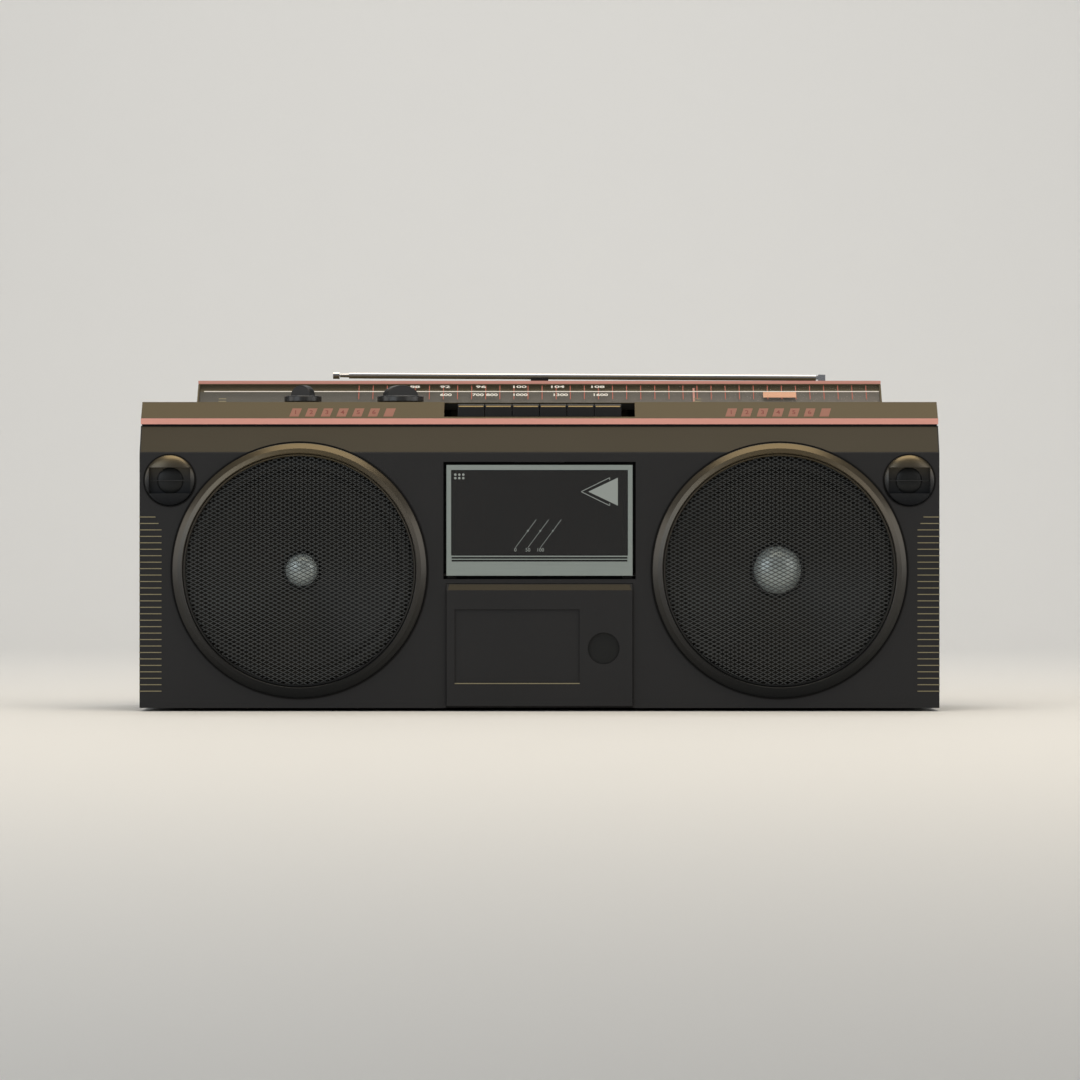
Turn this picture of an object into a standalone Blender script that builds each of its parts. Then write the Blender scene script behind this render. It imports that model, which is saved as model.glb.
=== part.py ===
"""Portable stereo radio cassette player, built from separate pieces.

Metres, +Z up, front towards -Y, origin under the middle of the case on the surface it stands on.
"""
import math

import bpy
import bmesh
from mathutils import Matrix

# Fits
GAP = 0.0003
SHADOW_GAP = 0.0006
BITE = 0.002
WALL = 0.003

# Front panel, across
DOOR_WIDTH = 0.1116
DOOR_MARGIN = 0.0019
RING_SPACING = 0.010
RING_RADIUS = 0.0763
SIDE_MARGIN = 0.0197

# Front panel, upwards
FOOT_HEIGHT = 0.002
FLAP_RISE = 0.0012
FLAP_HEIGHT = 0.0732
BRIDGE_HEIGHT = 0.0026
DOOR_HEIGHT = 0.0666
RING_FLOOR = 0.0063
SHOULDER_OVERLAP = 0.0059
CHAMFER_RISE = 0.0166
CHAMFER_RUN = 0.011
SEAM = 0.0009
STRIPE_HEIGHT = 0.0035
STRIPE_THICKNESS = 0.0012
BAND_RISE = 0.0102
BAND_RUN = 0.0105
HOUSING_RISE = 0.014
HOUSING_RUN = 0.0158

# Depths
CASE_DEPTH = 0.120
SPLIT_DEPTH = 0.050
DECK_RUN = 0.0325
HOUSING_TOP_RUN = 0.027
HOUSING_REAR_RUN = 0.003
RING_PROUD = 0.005
COLLAR_DEPTH = 0.014
DOOR_PROUD = 0.0012
DOOR_THICKNESS = 0.0045
FLAP_PROUD = 0.002
FLAP_THICKNESS = 0.003

# Speakers
RING_WIDTH = 0.0078
GRILLE_THICKNESS = 0.001
CONE_RIM_DEPTH = 0.006
CONE_DEPTH = 0.030
NECK_RADIUS = 0.008
CAP_RADIUS = {"left": 0.0112, "right": 0.0163}
BASKET_DEPTH = 0.030
MAGNET_RADIUS = 0.038
MAGNET_DEPTH = 0.016
TWEETER_RADIUS = 0.0153
TWEETER_BEARING = math.radians(34.7)
TWEETER_DEPTH = 0.008
TWEETER_RISE = 0.004
SLOT_HALF_HEIGHT = 0.0078
SLOT_HALF_WIDTH = 0.0125
DOME_RADIUS = 0.0073

# Dial
HOUSING_WIDTH = 0.4186
TRIM_HEIGHT = 0.0019
DIAL_BORDER = 0.0015
SCALE_THICKNESS = 0.0008
POINTER_THICKNESS = 0.0008
POINTER_WIDTH = 0.0012
POINTER_X = 0.0945
WINDOW_THICKNESS = 0.0012
DIAL_FLOOR = 0.0015

# Controls on the deck
VOLUME_X = -0.1437
VOLUME_RADIUS = 0.0113
VOLUME_FIN = 0.0166
VOLUME_YAW = -42
TUNING_X = -0.0844
TUNING_RADIUS = 0.01415
TUNING_FIN = 0.0232
TUNING_YAW = 35
KNOB_BASE = 0.0038
FIN_HEIGHT = 0.0065
FIN_THICKNESS = 0.005
STEM_RADIUS = 0.003
STEM_LENGTH = 0.008
KEY_NAMES = ("record_key", "play_key", "rewind_key", "forward_key", "stop_key", "pause_key")
KEY_PITCH = 0.0165
KEY_CLEARANCE = 0.0005
KEY_HEIGHT = 0.0078
KEY_LENGTH = 0.018
KEY_LIP = 0.001
KEY_ARM = 0.0045
KEY_REACH = 0.029
WELL_MARGIN = 0.008
SHAFT_RADIUS = 0.0014
BRACKET_WIDTH = 0.004

# Antenna
ANTENNA_X = 0.1737
ANTENNA_DEPTH = 0.080
ANTENNA_TILT = math.radians(0.28)
TUBE_RADIUS = 0.0019
TUBE_WALL = 0.0004
TUBE_LENGTH = 0.291
NECK_LENGTH = 0.0055
TIP_RADIUS = 0.00215
TIP_LENGTH = 0.004
PIVOT_PIN_RADIUS = 0.0007
CHEEK_HALF_WIDTH = 0.0022
REST_HALF_WIDTH = 0.0054
REST_LIP = 0.0012

# Cassette deck
PIN_RADIUS = 0.0012
HINGE_RISE = 0.0024
LUG_WIDTH = 0.005
EAR_WIDTH = 0.006
WINDOW_SIDE = 0.0028
WINDOW_FOOT = 0.0122
WINDOW_HEAD = 0.003
GLASS_THICKNESS = 0.0018
CASSETTE_WIDTH = 0.1004
CASSETTE_THICKNESS = 0.0121
HOLDER_WALL = 0.0015
HOLDER_HEIGHT = 0.060
HUB_SPACING = 0.0425
HUB_RISE = 0.031
SPINDLE_RADIUS = 0.0035
SPINDLE_REACH = 0.010
PLATE_GAP = 0.0025
PLATE_THICKNESS = 0.0015
POST_SIZE = 0.005
FLYWHEEL_RADIUS = 0.016
FLYWHEEL_THICKNESS = 0.005
CAPSTAN_X = 0.020
CAPSTAN_DROP = 0.0074
CAPSTAN_RADIUS = 0.0012
HEAD_WIDTH = 0.030
HEAD_HEIGHT = 0.008
HEAD_CLEARANCE = 0.0056

# Rear
BAY_WIDTH = 0.198
BAY_HEIGHT = 0.070
BAY_DEPTH = 0.037
BAY_RISE = 0.005
BOARD_THICKNESS = 0.0016
HANDLE_HALF_WIDTH = 0.211
HANDLE_ARM = 0.012
HANDLE_DROP = 0.072
HANDLE_THICKNESS = 0.010
HANDLE_CLEARANCE = 0.0032
HANDLE_PIN_RADIUS = 0.003
HANDLE_LUG = 0.012
HANDLE_BELOW_TOP = 0.010
FOOT_WIDTH = 0.040
FOOT_INSET = 0.012

# Places that follow from the sizes above
HANDLE_PROUD = HANDLE_CLEARANCE + HANDLE_THICKNESS
FRONT_Y = RING_PROUD - (RING_PROUD + CASE_DEPTH + HANDLE_PROUD) / 2
BAY_HALF = DOOR_WIDTH / 2 + DOOR_MARGIN
WOOFER_X = BAY_HALF + RING_SPACING + RING_RADIUS
HALF_WIDTH = WOOFER_X + RING_RADIUS + SIDE_MARGIN
WOOFER_Z = FOOT_HEIGHT + RING_FLOOR + RING_RADIUS
SHOULDER_Z = WOOFER_Z + RING_RADIUS - SHOULDER_OVERLAP
CABINET_TOP = SHOULDER_Z + CHAMFER_RISE
COVER_Z = CABINET_TOP + SEAM
BAND_Z = COVER_Z + STRIPE_HEIGHT
DECK_Z = BAND_Z + BAND_RISE
COVER_D = CHAMFER_RUN + GAP
HOUSING_D = COVER_D + BAND_RUN + DECK_RUN
HOUSING_Z = DECK_Z + GAP
HOUSING_TOP = HOUSING_Z + HOUSING_RISE
SLOPE = math.atan2(HOUSING_RISE, HOUSING_RUN)
SLOPE_LENGTH = math.hypot(HOUSING_RISE, HOUSING_RUN)
FLAP_Z = FOOT_HEIGHT + FLAP_RISE
FLAP_TOP = FLAP_Z + FLAP_HEIGHT
DOOR_BAY_Z = FLAP_TOP + GAP + BRIDGE_HEIGHT
DOOR_Z = DOOR_BAY_Z + DOOR_MARGIN
DOOR_TOP = DOOR_Z + DOOR_HEIGHT
HINGE_Z = DOOR_BAY_Z + HINGE_RISE
HINGE_D = DOOR_THICKNESS - DOOR_MARGIN
FLAP_HINGE_D = FLAP_THICKNESS / 2 + GAP
FLAP_HINGE_Z = FLAP_Z + FLAP_HINGE_D
KEY_D = COVER_D + WALL + KEY_LIP
KEY_Z = BAND_Z + KEY_LIP
SHAFT_D = KEY_D + KEY_REACH
SHAFT_Z = KEY_Z + KEY_ARM / 2
KNOB_D = COVER_D + BAND_RUN + DECK_RUN / 2
KNOBS = {"volume_knob": (VOLUME_X, VOLUME_RADIUS, VOLUME_FIN, VOLUME_YAW),
         "tuning_knob": (TUNING_X, TUNING_RADIUS, TUNING_FIN, TUNING_YAW)}
PIVOT_Z = HOUSING_TOP + TUBE_RADIUS + GAP
HOLDER_D = DOOR_THICKNESS - DOOR_PROUD + GAP
HOLDER_BACK = HOLDER_D + CASSETTE_THICKNESS + GAP + HOLDER_WALL
PLATE_D = HOLDER_BACK + PLATE_GAP
SPINDLE_Z = HINGE_Z + HUB_RISE
HOLDER_Z = HINGE_Z + HINGE_RISE
HOLDER_TOP = HOLDER_Z + HOLDER_HEIGHT
HANDLE_PIVOT_D = CASE_DEPTH + HANDLE_CLEARANCE + HANDLE_THICKNESS / 2
HANDLE_PIVOT_Z = CABINET_TOP - HANDLE_BELOW_TOP
BAY_Z = FOOT_HEIGHT + BAY_RISE

CHARCOAL = ((0.020, 0.020, 0.021), 0.45, 0.0)
BRONZE = ((0.072, 0.060, 0.038), 0.4, 0.3)
SALMON = ((0.55, 0.25, 0.20), 0.45, 0.0)
BLACK = ((0.008, 0.008, 0.009), 0.5, 0.0)
SILVER = ((0.20, 0.22, 0.22), 0.35, 0.7)
STEEL = ((0.55, 0.55, 0.56), 0.25, 1.0)
GLASS = ((0.03, 0.03, 0.03), 0.1, 0.0)
BOARD = ((0.03, 0.12, 0.05), 0.6, 0.0)


def start_scene():
    for item in list(bpy.data.objects):
        bpy.data.objects.remove(item)
    parts = bpy.data.collections.new("boombox")
    cutters = bpy.data.collections.new("cutters")
    bpy.context.scene.collection.children.link(parts)
    bpy.context.scene.collection.children.link(cutters)
    return parts, cutters


PARTS, CUTTERS = start_scene()


def tool(mesh, location=(0, 0, 0), turn=(0, 0, 0)):
    """A hidden shape that cuts or joins another."""
    item = bpy.data.objects.new("tool", mesh)
    item.location = location
    item.rotation_euler = turn
    item.hide_render = True
    item.display_type = "WIRE"
    CUTTERS.objects.link(item)
    return item


def part(name, shape, finish, pivot=None):
    """Turn a shape into a named piece whose origin lies at pivot."""
    CUTTERS.objects.unlink(shape)
    PARTS.objects.link(shape)
    shape.name = name
    shape.hide_render = False
    shape.display_type = "TEXTURED"
    if pivot:
        move = shape.matrix_basis.inverted() @ Matrix.Translation(pivot)
        shape.data.transform(move.inverted())
        shape.matrix_basis = Matrix.Translation(pivot)
    material = bpy.data.materials.new(name)
    material.use_nodes = True
    shader = material.node_tree.nodes["Principled BSDF"]
    colour, roughness, metallic = finish
    shader.inputs["Base Color"].default_value = (*colour, 1)
    shader.inputs["Roughness"].default_value = roughness
    shader.inputs["Metallic"].default_value = metallic
    shape.data.materials.append(material)
    return shape


def box(x, d, z):
    """A block between pairs of limits: across, behind the front face and up."""
    mesh = bpy.data.meshes.new("box")
    form = bmesh.new()
    bmesh.ops.create_cube(form, size=1)
    size = (x[1] - x[0], d[1] - d[0], z[1] - z[0])
    bmesh.ops.scale(form, vec=size, verts=form.verts)
    centre = (sum(x) / 2, FRONT_Y + sum(d) / 2, sum(z) / 2)
    bmesh.ops.translate(form, vec=centre, verts=form.verts)
    form.to_mesh(mesh)
    form.free()
    return tool(mesh)


def rod(axis, centre, radius, low, high, segments=16):
    """A cylinder along X or Y through centre (x, d, z), between two places on that axis."""
    mesh = bpy.data.meshes.new("rod")
    form = bmesh.new()
    bmesh.ops.create_cone(form, cap_ends=True, segments=segments, radius1=radius, radius2=radius,
                          depth=high - low)
    turn = {"X": Matrix.Rotation(math.pi / 2, 4, "Y"), "Y": Matrix.Rotation(math.pi / 2, 4, "X"),
            "Z": Matrix.Identity(4)}[axis]
    bmesh.ops.transform(form, matrix=turn, verts=form.verts)
    place = [centre[0], FRONT_Y + centre[1], centre[2]]
    place["XYZ".index(axis)] = (low + high) / 2 + (FRONT_Y if axis == "Y" else 0)
    bmesh.ops.translate(form, vec=place, verts=form.verts)
    form.to_mesh(mesh)
    form.free()
    return tool(mesh)


def outline_mesh(points, thickness):
    """A flat outline in XY, thickened evenly about Z."""
    curve = bpy.data.curves.new("outline", "CURVE")
    curve.dimensions = "2D"
    curve.fill_mode = "BOTH"
    curve.extrude = thickness / 2
    spline = curve.splines.new("POLY")
    spline.points.add(len(points) - 1)
    for point, (u, v) in zip(spline.points, points):
        point.co = (u, v, 0, 1)
    spline.use_cyclic_u = True
    item = tool(curve)
    view = bpy.context.evaluated_depsgraph_get()
    mesh = bpy.data.meshes.new_from_object(item.evaluated_get(view))
    bpy.data.objects.remove(item)
    form = bmesh.new()
    form.from_mesh(mesh)
    bmesh.ops.remove_doubles(form, verts=form.verts, dist=1e-6)
    bmesh.ops.recalc_face_normals(form, faces=form.faces)
    form.to_mesh(mesh)
    form.free()
    return mesh


def prism(points, low, high):
    """A side outline of (depth, height) points, run across from low to high."""
    mesh = outline_mesh([(FRONT_Y + d, z) for d, z in points], high - low)
    mesh.transform(Matrix(((0, 0, 1, (low + high) / 2), (1, 0, 0, 0), (0, 1, 0, 0), (0, 0, 0, 1))))
    return tool(mesh)


def turned(points, centre, segments=32, closed=False, turn=(math.pi / 2, 0, 0)):
    """A profile of (radius, height towards the front) points, turned about an axis through centre."""
    mesh = bpy.data.meshes.new("turned")
    form = bmesh.new()
    verts = [form.verts.new((r, 0, h)) for r, h in points]
    for first, second in zip(verts, verts[1:]):
        form.edges.new((first, second))
    if closed:
        form.edges.new((verts[-1], verts[0]))
    form.to_mesh(mesh)
    form.free()
    item = tool(mesh, (centre[0], FRONT_Y + centre[1], centre[2]), turn)
    screw = item.modifiers.new("turn", "SCREW")
    screw.steps = segments
    screw.render_steps = segments
    screw.use_merge_vertices = True
    screw.merge_threshold = 1e-5
    return item


def baked(item):
    """The same shape with its modifiers and place worked into its mesh."""
    view = bpy.context.evaluated_depsgraph_get()
    mesh = bpy.data.meshes.new_from_object(item.evaluated_get(view))
    mesh.transform(item.matrix_basis)
    item.modifiers.clear()
    item.data = mesh
    item.matrix_basis = Matrix.Identity(4)
    return item


def combine(item, others, operation):
    for other in others:
        step = item.modifiers.new(operation.lower(), "BOOLEAN")
        step.object = other
        step.operation = operation
    return item


def cut(item, *others):
    return combine(item, others, "DIFFERENCE")


def join(item, *others):
    return combine(item, others, "UNION")


def inset(points, distances):
    """Move each side of a clockwise outline inwards; a negative distance moves it out."""
    lines = []
    for index, (d0, z0) in enumerate(points):
        d1, z1 = points[(index + 1) % len(points)]
        length = math.hypot(d1 - d0, z1 - z0)
        normal = ((z1 - z0) / length, (d0 - d1) / length)
        lines.append((normal, normal[0] * d0 + normal[1] * z0 + distances[index]))
    corners = []
    for index, (b, b_at) in enumerate(lines):
        a, a_at = lines[index - 1]
        area = a[0] * b[1] - a[1] * b[0]
        corners.append(((a_at * b[1] - a[1] * b_at) / area, (a[0] * b_at - a_at * b[0]) / area))
    return corners


def mirrored(span, side):
    return tuple(sorted((side * span[0], side * span[1])))


def front_cabinet():
    outer = [(0, FOOT_HEIGHT), (0, SHOULDER_Z), (CHAMFER_RUN, CABINET_TOP), (SPLIT_DEPTH, CABINET_TOP),
             (SPLIT_DEPTH, FOOT_HEIGHT)]
    shell = prism(outer, -HALF_WIDTH, HALF_WIDTH)
    inner = inset(outer, (WALL, WALL, -BITE, -BITE, WALL))
    cut(shell, prism(inner, WALL - HALF_WIDTH, HALF_WIDTH - WALL))
    cut(shell, box((-BAY_HALF, BAY_HALF), (-BITE, WALL + GAP), (DOOR_BAY_Z, DOOR_TOP + DOOR_MARGIN)))
    flap_half = DOOR_WIDTH / 2 + GAP
    cut(shell, box((-flap_half, flap_half), (-BITE, WALL + 2 * SHADOW_GAP),
                   (FOOT_HEIGHT - BITE, FLAP_TOP + GAP)))
    tweeter_x, tweeter_z = tweeter_place()
    for side in (-1, 1):
        cut(shell, rod("Y", (side * WOOFER_X, 0, WOOFER_Z), RING_RADIUS + SHADOW_GAP, -BITE,
                       COLLAR_DEPTH, 40))
        cut(shell, rod("Y", (side * tweeter_x, 0, tweeter_z), TWEETER_RADIUS + SHADOW_GAP, -BITE,
                       TWEETER_DEPTH + BITE, 24))
        lug = mirrored((BAY_HALF + GAP, BAY_HALF + LUG_WIDTH), side)
        lug_half = 2 * PIN_RADIUS
        join(shell, box(lug, (WALL / 3, HINGE_D + lug_half), (HINGE_Z - lug_half, HINGE_Z + lug_half)))
        low = mirrored((flap_half + GAP, flap_half + LUG_WIDTH), side)
        join(shell, box(low, (WALL / 4, 2 * WALL), (FOOT_HEIGHT + WALL / 2, FLAP_HINGE_Z + lug_half)))
        post = mirrored((BAY_HALF + GAP, BAY_HALF + GAP + POST_SIZE), side)
        for foot in (DOOR_BAY_Z - 2 * POST_SIZE, DOOR_TOP - POST_SIZE):
            join(shell, box(post, (WALL / 2, PLATE_D - GAP), (foot, foot + POST_SIZE)))
        hole = mirrored((0, BAY_HALF + LUG_WIDTH - GAP), side)
        cut(shell, rod("X", (0, HINGE_D, HINGE_Z), PIN_RADIUS + GAP, *hole, 12))
        hole = mirrored((0, flap_half + LUG_WIDTH - GAP), side)
        cut(shell, rod("X", (0, FLAP_HINGE_D, FLAP_HINGE_Z), PIN_RADIUS / 2 + GAP, *hole, 12))
    part("front_cabinet", shell, CHARCOAL)


def rear_cabinet():
    front = SPLIT_DEPTH + GAP
    outer = [(front, FOOT_HEIGHT), (front, CABINET_TOP), (CASE_DEPTH, CABINET_TOP),
             (CASE_DEPTH, FOOT_HEIGHT)]
    shell = prism(outer, -HALF_WIDTH, HALF_WIDTH)
    inner = inset(outer, (-BITE, -BITE, WALL, WALL))
    cut(shell, prism(inner, WALL - HALF_WIDTH, HALF_WIDTH - WALL))
    bay = BAY_WIDTH / 2
    mouth = CASE_DEPTH - BAY_DEPTH
    join(shell, box((-bay - WALL, bay + WALL), (mouth - WALL, CASE_DEPTH - WALL / 2),
                    (FOOT_HEIGHT + WALL / 2, BAY_Z + BAY_HEIGHT + WALL)))
    cut(shell, box((-bay, bay), (mouth, CASE_DEPTH + BITE), (BAY_Z, BAY_Z + BAY_HEIGHT)))
    cut(shell, rod("X", (0, CASE_DEPTH - WALL / 2, BAY_Z + WALL / 2 + SHADOW_GAP), PIN_RADIUS / 2 + GAP,
                   -bay - WALL / 2, bay + WALL / 2, 12))
    arm = HANDLE_HALF_WIDTH - HANDLE_ARM
    half = HANDLE_LUG / 2
    for side in (-1, 1):
        lug = mirrored((arm - HANDLE_LUG, arm - GAP), side)
        join(shell, box(lug, (CASE_DEPTH - WALL / 2, CASE_DEPTH + HANDLE_PROUD),
                        (HANDLE_PIVOT_Z - half, HANDLE_PIVOT_Z + half)))
        pin = mirrored((arm - half, HANDLE_HALF_WIDTH - WALL), side)
        join(shell, rod("X", (0, HANDLE_PIVOT_D, HANDLE_PIVOT_Z), HANDLE_PIN_RADIUS, *pin))
    part("rear_cabinet", shell, CHARCOAL)


def battery_door():
    half = BAY_WIDTH / 2 - GAP
    axis = (0, CASE_DEPTH - WALL / 2, BAY_Z + WALL / 2 + SHADOW_GAP)
    door = box((-half, half), (CASE_DEPTH - WALL + GAP, CASE_DEPTH - GAP),
               (BAY_Z + SHADOW_GAP, BAY_Z + BAY_HEIGHT - SHADOW_GAP))
    join(door, rod("X", axis, PIN_RADIUS / 2, -half - WALL / 2 + GAP, half + WALL / 2 - GAP, 12))
    part("battery_door", door, CHARCOAL, (0, FRONT_Y + axis[1], axis[2]))


def top_cover():
    outer = [(COVER_D, COVER_Z), (COVER_D, BAND_Z), (COVER_D + BAND_RUN, DECK_Z), (CASE_DEPTH, DECK_Z),
             (CASE_DEPTH, COVER_Z)]
    cover = prism(outer, -HALF_WIDTH, HALF_WIDTH)
    inner = inset(outer, (WALL, WALL, WALL, WALL, -BITE))
    cut(cover, prism(inner, WALL - HALF_WIDTH, HALF_WIDTH - WALL))
    keys = len(KEY_NAMES) * KEY_PITCH / 2
    well = keys + WELL_MARGIN
    lip = COVER_D + WALL
    high = DECK_Z + BITE
    well_side = [(COVER_D - BITE, KEY_Z), (COVER_D - BITE, high), (KEY_D + KEY_LENGTH + KEY_LIP, high),
                 (KEY_D + KEY_LENGTH + KEY_LIP, COVER_Z - BITE), (lip, COVER_Z - BITE), (lip, KEY_Z)]
    cut(cover, prism(well_side, -well, well))
    housing = HOUSING_WIDTH / 2 - DIAL_BORDER
    cut(cover, box((-housing, housing), (HOUSING_D + WALL, HOUSING_D + HOUSING_RUN + HOUSING_TOP_RUN - WALL),
                   (COVER_Z, high)))
    for x, radius, length, yaw in KNOBS.values():
        cut(cover, rod("Z", (x, KNOB_D, 0), STEM_RADIUS + GAP, DECK_Z - 2 * WALL, high))
    bracket = 2 * SHAFT_RADIUS
    for side in (-1, 1):
        span = mirrored((keys + GAP, keys + GAP + BRACKET_WIDTH), side)
        join(cover, box(span, (SHAFT_D - bracket, SHAFT_D + bracket),
                        (SHAFT_Z - bracket, DECK_Z - WALL / 2)))
    hole = keys + BRACKET_WIDTH / 2
    cut(cover, rod("X", (0, SHAFT_D, SHAFT_Z), SHAFT_RADIUS + GAP, -hole, hole, 12))
    part("top_cover", cover, BRONZE)
    part("key_shaft", rod("X", (0, SHAFT_D, SHAFT_Z), SHAFT_RADIUS, GAP - hole, hole - GAP, 12), STEEL)
    part("front_trim", box((-HALF_WIDTH, HALF_WIDTH), (COVER_D - GAP - STRIPE_THICKNESS, COVER_D - GAP),
                           (COVER_Z, BAND_Z)), SALMON)


def keys():
    back = KEY_D + KEY_LENGTH
    tail = SHAFT_D + 2 * SHAFT_RADIUS
    top = KEY_Z + KEY_HEIGHT
    side_view = [(KEY_D, KEY_Z), (KEY_D, top - KEY_LIP), (KEY_D + KEY_LIP, top), (back, top),
                 (back, KEY_Z + KEY_ARM), (tail, KEY_Z + KEY_ARM), (tail, KEY_Z)]
    for index, name in enumerate(KEY_NAMES):
        x = (index - (len(KEY_NAMES) - 1) / 2) * KEY_PITCH
        half = (KEY_PITCH - KEY_CLEARANCE) / 2
        key = prism(side_view, x - half, x + half)
        bore = rod("X", (0, SHAFT_D, SHAFT_Z), SHAFT_RADIUS + GAP, x - KEY_PITCH, x + KEY_PITCH, 12)
        part(name, baked(cut(key, bore)), BLACK, (x, FRONT_Y + SHAFT_D, SHAFT_Z))


def dial_frame():
    frame = bpy.data.objects.new("dial_frame", None)
    frame.location = (0, FRONT_Y + HOUSING_D, HOUSING_Z)
    frame.rotation_euler = (SLOPE, 0, 0)
    PARTS.objects.link(frame)
    return frame


def slope_box(frame, x, up, out):
    """A block in the dial's own frame: across, up the slope and out of it."""
    block = box(x, (up[0] - FRONT_Y, up[1] - FRONT_Y), out)
    block.parent = frame
    return block


def dial():
    frame = dial_frame()
    half = HOUSING_WIDTH / 2
    rear = HOUSING_D + HOUSING_RUN + HOUSING_TOP_RUN
    outer = [(HOUSING_D, HOUSING_Z), (HOUSING_D + HOUSING_RUN, HOUSING_TOP), (rear, HOUSING_TOP),
             (rear + HOUSING_REAR_RUN, HOUSING_Z)]
    stack = SCALE_THICKNESS + POINTER_THICKNESS + WINDOW_THICKNESS + 4 * GAP
    shell = prism(outer, -half, half)
    inner = inset(outer, (stack + DIAL_FLOOR, WALL, WALL, -BITE))
    cut(shell, prism(inner, WALL - half, half - WALL))
    side = half - 2 * DIAL_BORDER
    low = 2 * DIAL_BORDER
    high = SLOPE_LENGTH - TRIM_HEIGHT / math.sin(SLOPE) - DIAL_BORDER
    cut(shell, slope_box(frame, (-side, side), (low, high), (-stack, BITE)))
    trim_z = HOUSING_TOP - TRIM_HEIGHT
    trim_d = HOUSING_D + HOUSING_RUN
    depth = TRIM_HEIGHT * HOUSING_RUN / HOUSING_RISE
    cut(shell, box((-half - BITE, half + BITE), (trim_d - 2 * depth, trim_d + GAP),
                   (trim_z - GAP, HOUSING_TOP + BITE)))
    antenna_hole = rod("Z", (ANTENNA_X, ANTENNA_DEPTH, 0), CHEEK_HALF_WIDTH + GAP, HOUSING_TOP - 2 * WALL,
                       HOUSING_TOP + BITE)
    tube_foot = PIVOT_Z + ANTENNA_X * math.tan(ANTENNA_TILT) - TUBE_RADIUS - GAP
    front = ANTENNA_DEPTH - TUBE_RADIUS - GAP
    rest = (-REST_HALF_WIDTH, REST_HALF_WIDTH)
    join(shell, box(rest, (front - REST_LIP, ANTENNA_DEPTH + 2 * TUBE_RADIUS),
                    (HOUSING_TOP - WALL / 2, tube_foot)))
    join(shell, box(rest, (front - REST_LIP, front), (HOUSING_TOP - WALL / 2, tube_foot + TUBE_RADIUS)))
    part("dial_housing", cut(shell, antenna_hole), BRONZE)
    part("dial_trim", box((-half, half), (trim_d - depth, trim_d), (trim_z, HOUSING_TOP)), SALMON)
    side -= GAP
    span = (low + GAP, high - GAP)
    plate = (GAP - stack, GAP - stack + SCALE_THICKNESS)
    part("dial_scale", slope_box(frame, (-side, side), span, plate), BLACK)
    part("dial_window", slope_box(frame, (-side, side), span, (-WINDOW_THICKNESS, 0)), GLASS)
    foot = 2 * GAP - stack + SCALE_THICKNESS
    needle = (POINTER_X - POINTER_WIDTH / 2, POINTER_X + POINTER_WIDTH / 2)
    part("dial_pointer", slope_box(frame, needle, span, (foot, foot + POINTER_THICKNESS)), SALMON)


def knobs():
    base = DECK_Z + GAP
    for name, (x, radius, fin, yaw) in KNOBS.items():
        knob = rod("Z", (x, KNOB_D, 0), radius, base, base + KNOB_BASE, 32)
        steps = 12
        arch = [(fin / 2 * math.cos(math.pi * i / steps), FIN_HEIGHT * math.sin(math.pi * i / steps))
                for i in range(steps + 1)]
        mesh = outline_mesh([(fin / 2, -KNOB_BASE / 2)] + arch + [(-fin / 2, -KNOB_BASE / 2)], FIN_THICKNESS)
        mesh.transform(Matrix.Rotation(math.pi / 2, 4, "X"))
        place = (x, FRONT_Y + KNOB_D, base + KNOB_BASE)
        join(knob, tool(mesh, place, (0, 0, math.radians(yaw))))
        join(knob, rod("Z", (x, KNOB_D, 0), STEM_RADIUS, base - STEM_LENGTH, base + KNOB_BASE / 2))
        part(name, baked(knob), BLACK, (x, FRONT_Y + KNOB_D, base))


def woofer(side, label):
    centre = (side * WOOFER_X, 0, WOOFER_Z)
    inner = RING_RADIUS - RING_WIDTH
    seat = inner + GRILLE_THICKNESS
    front = RING_PROUD - DOOR_THICKNESS / 2
    ring = [(RING_RADIUS, RING_PROUD * 0.6), (RING_RADIUS, -COLLAR_DEPTH), (seat, -COLLAR_DEPTH),
            (seat, front - GRILLE_THICKNESS), (inner, front - GRILLE_THICKNESS), (inner, front),
            (inner + RING_WIDTH / 2, RING_PROUD), (inner + RING_WIDTH * 0.7, RING_PROUD)]
    part("woofer_ring_" + label, turned(ring, centre, 40, True), CHARCOAL)
    back = front - GRILLE_THICKNESS - GAP
    rim = seat - GAP
    disc = [(0, back), (rim, back), (rim, back - GRILLE_THICKNESS), (0, back - GRILLE_THICKNESS)]
    part("woofer_grille_" + label, turned(disc, centre, 40), BLACK)
    slant = (CONE_DEPTH - CONE_RIM_DEPTH) / (rim - NECK_RADIUS)
    neck = -CONE_DEPTH
    cone = [(rim, -CONE_RIM_DEPTH), (rim, -CONE_RIM_DEPTH - GRILLE_THICKNESS),
            (NECK_RADIUS, neck - GRILLE_THICKNESS), (NECK_RADIUS, neck)]
    part("woofer_cone_" + label, turned(cone, centre, 40, True), BLACK)
    cap = CAP_RADIUS[label]
    seat_h = neck + (cap - NECK_RADIUS) * slant + GAP
    dome = [(cap * math.sin(a), seat_h + 0.5 * cap * math.cos(a))
            for a in (math.pi / 2 * i / 5 for i in range(6))]
    part("woofer_cap_" + label, turned(dome + [(0, seat_h)], centre, 24), SILVER)
    flange = -COLLAR_DEPTH - GAP
    floor = flange - BASKET_DEPTH
    basket = [(0, floor + WALL), (MAGNET_RADIUS - WALL, floor + WALL), (seat, flange - WALL), (seat, flange),
              (RING_RADIUS, flange), (RING_RADIUS, flange - WALL), (MAGNET_RADIUS, floor),
              (MAGNET_RADIUS, floor - MAGNET_DEPTH), (0, floor - MAGNET_DEPTH)]
    part("woofer_frame_" + label, turned(basket, centre, 40), STEEL)


def tweeter_place():
    reach = RING_RADIUS + TWEETER_RADIUS + DOOR_MARGIN + 2 * SHADOW_GAP
    return WOOFER_X + reach * math.cos(TWEETER_BEARING), WOOFER_Z + reach * math.sin(TWEETER_BEARING)


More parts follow.
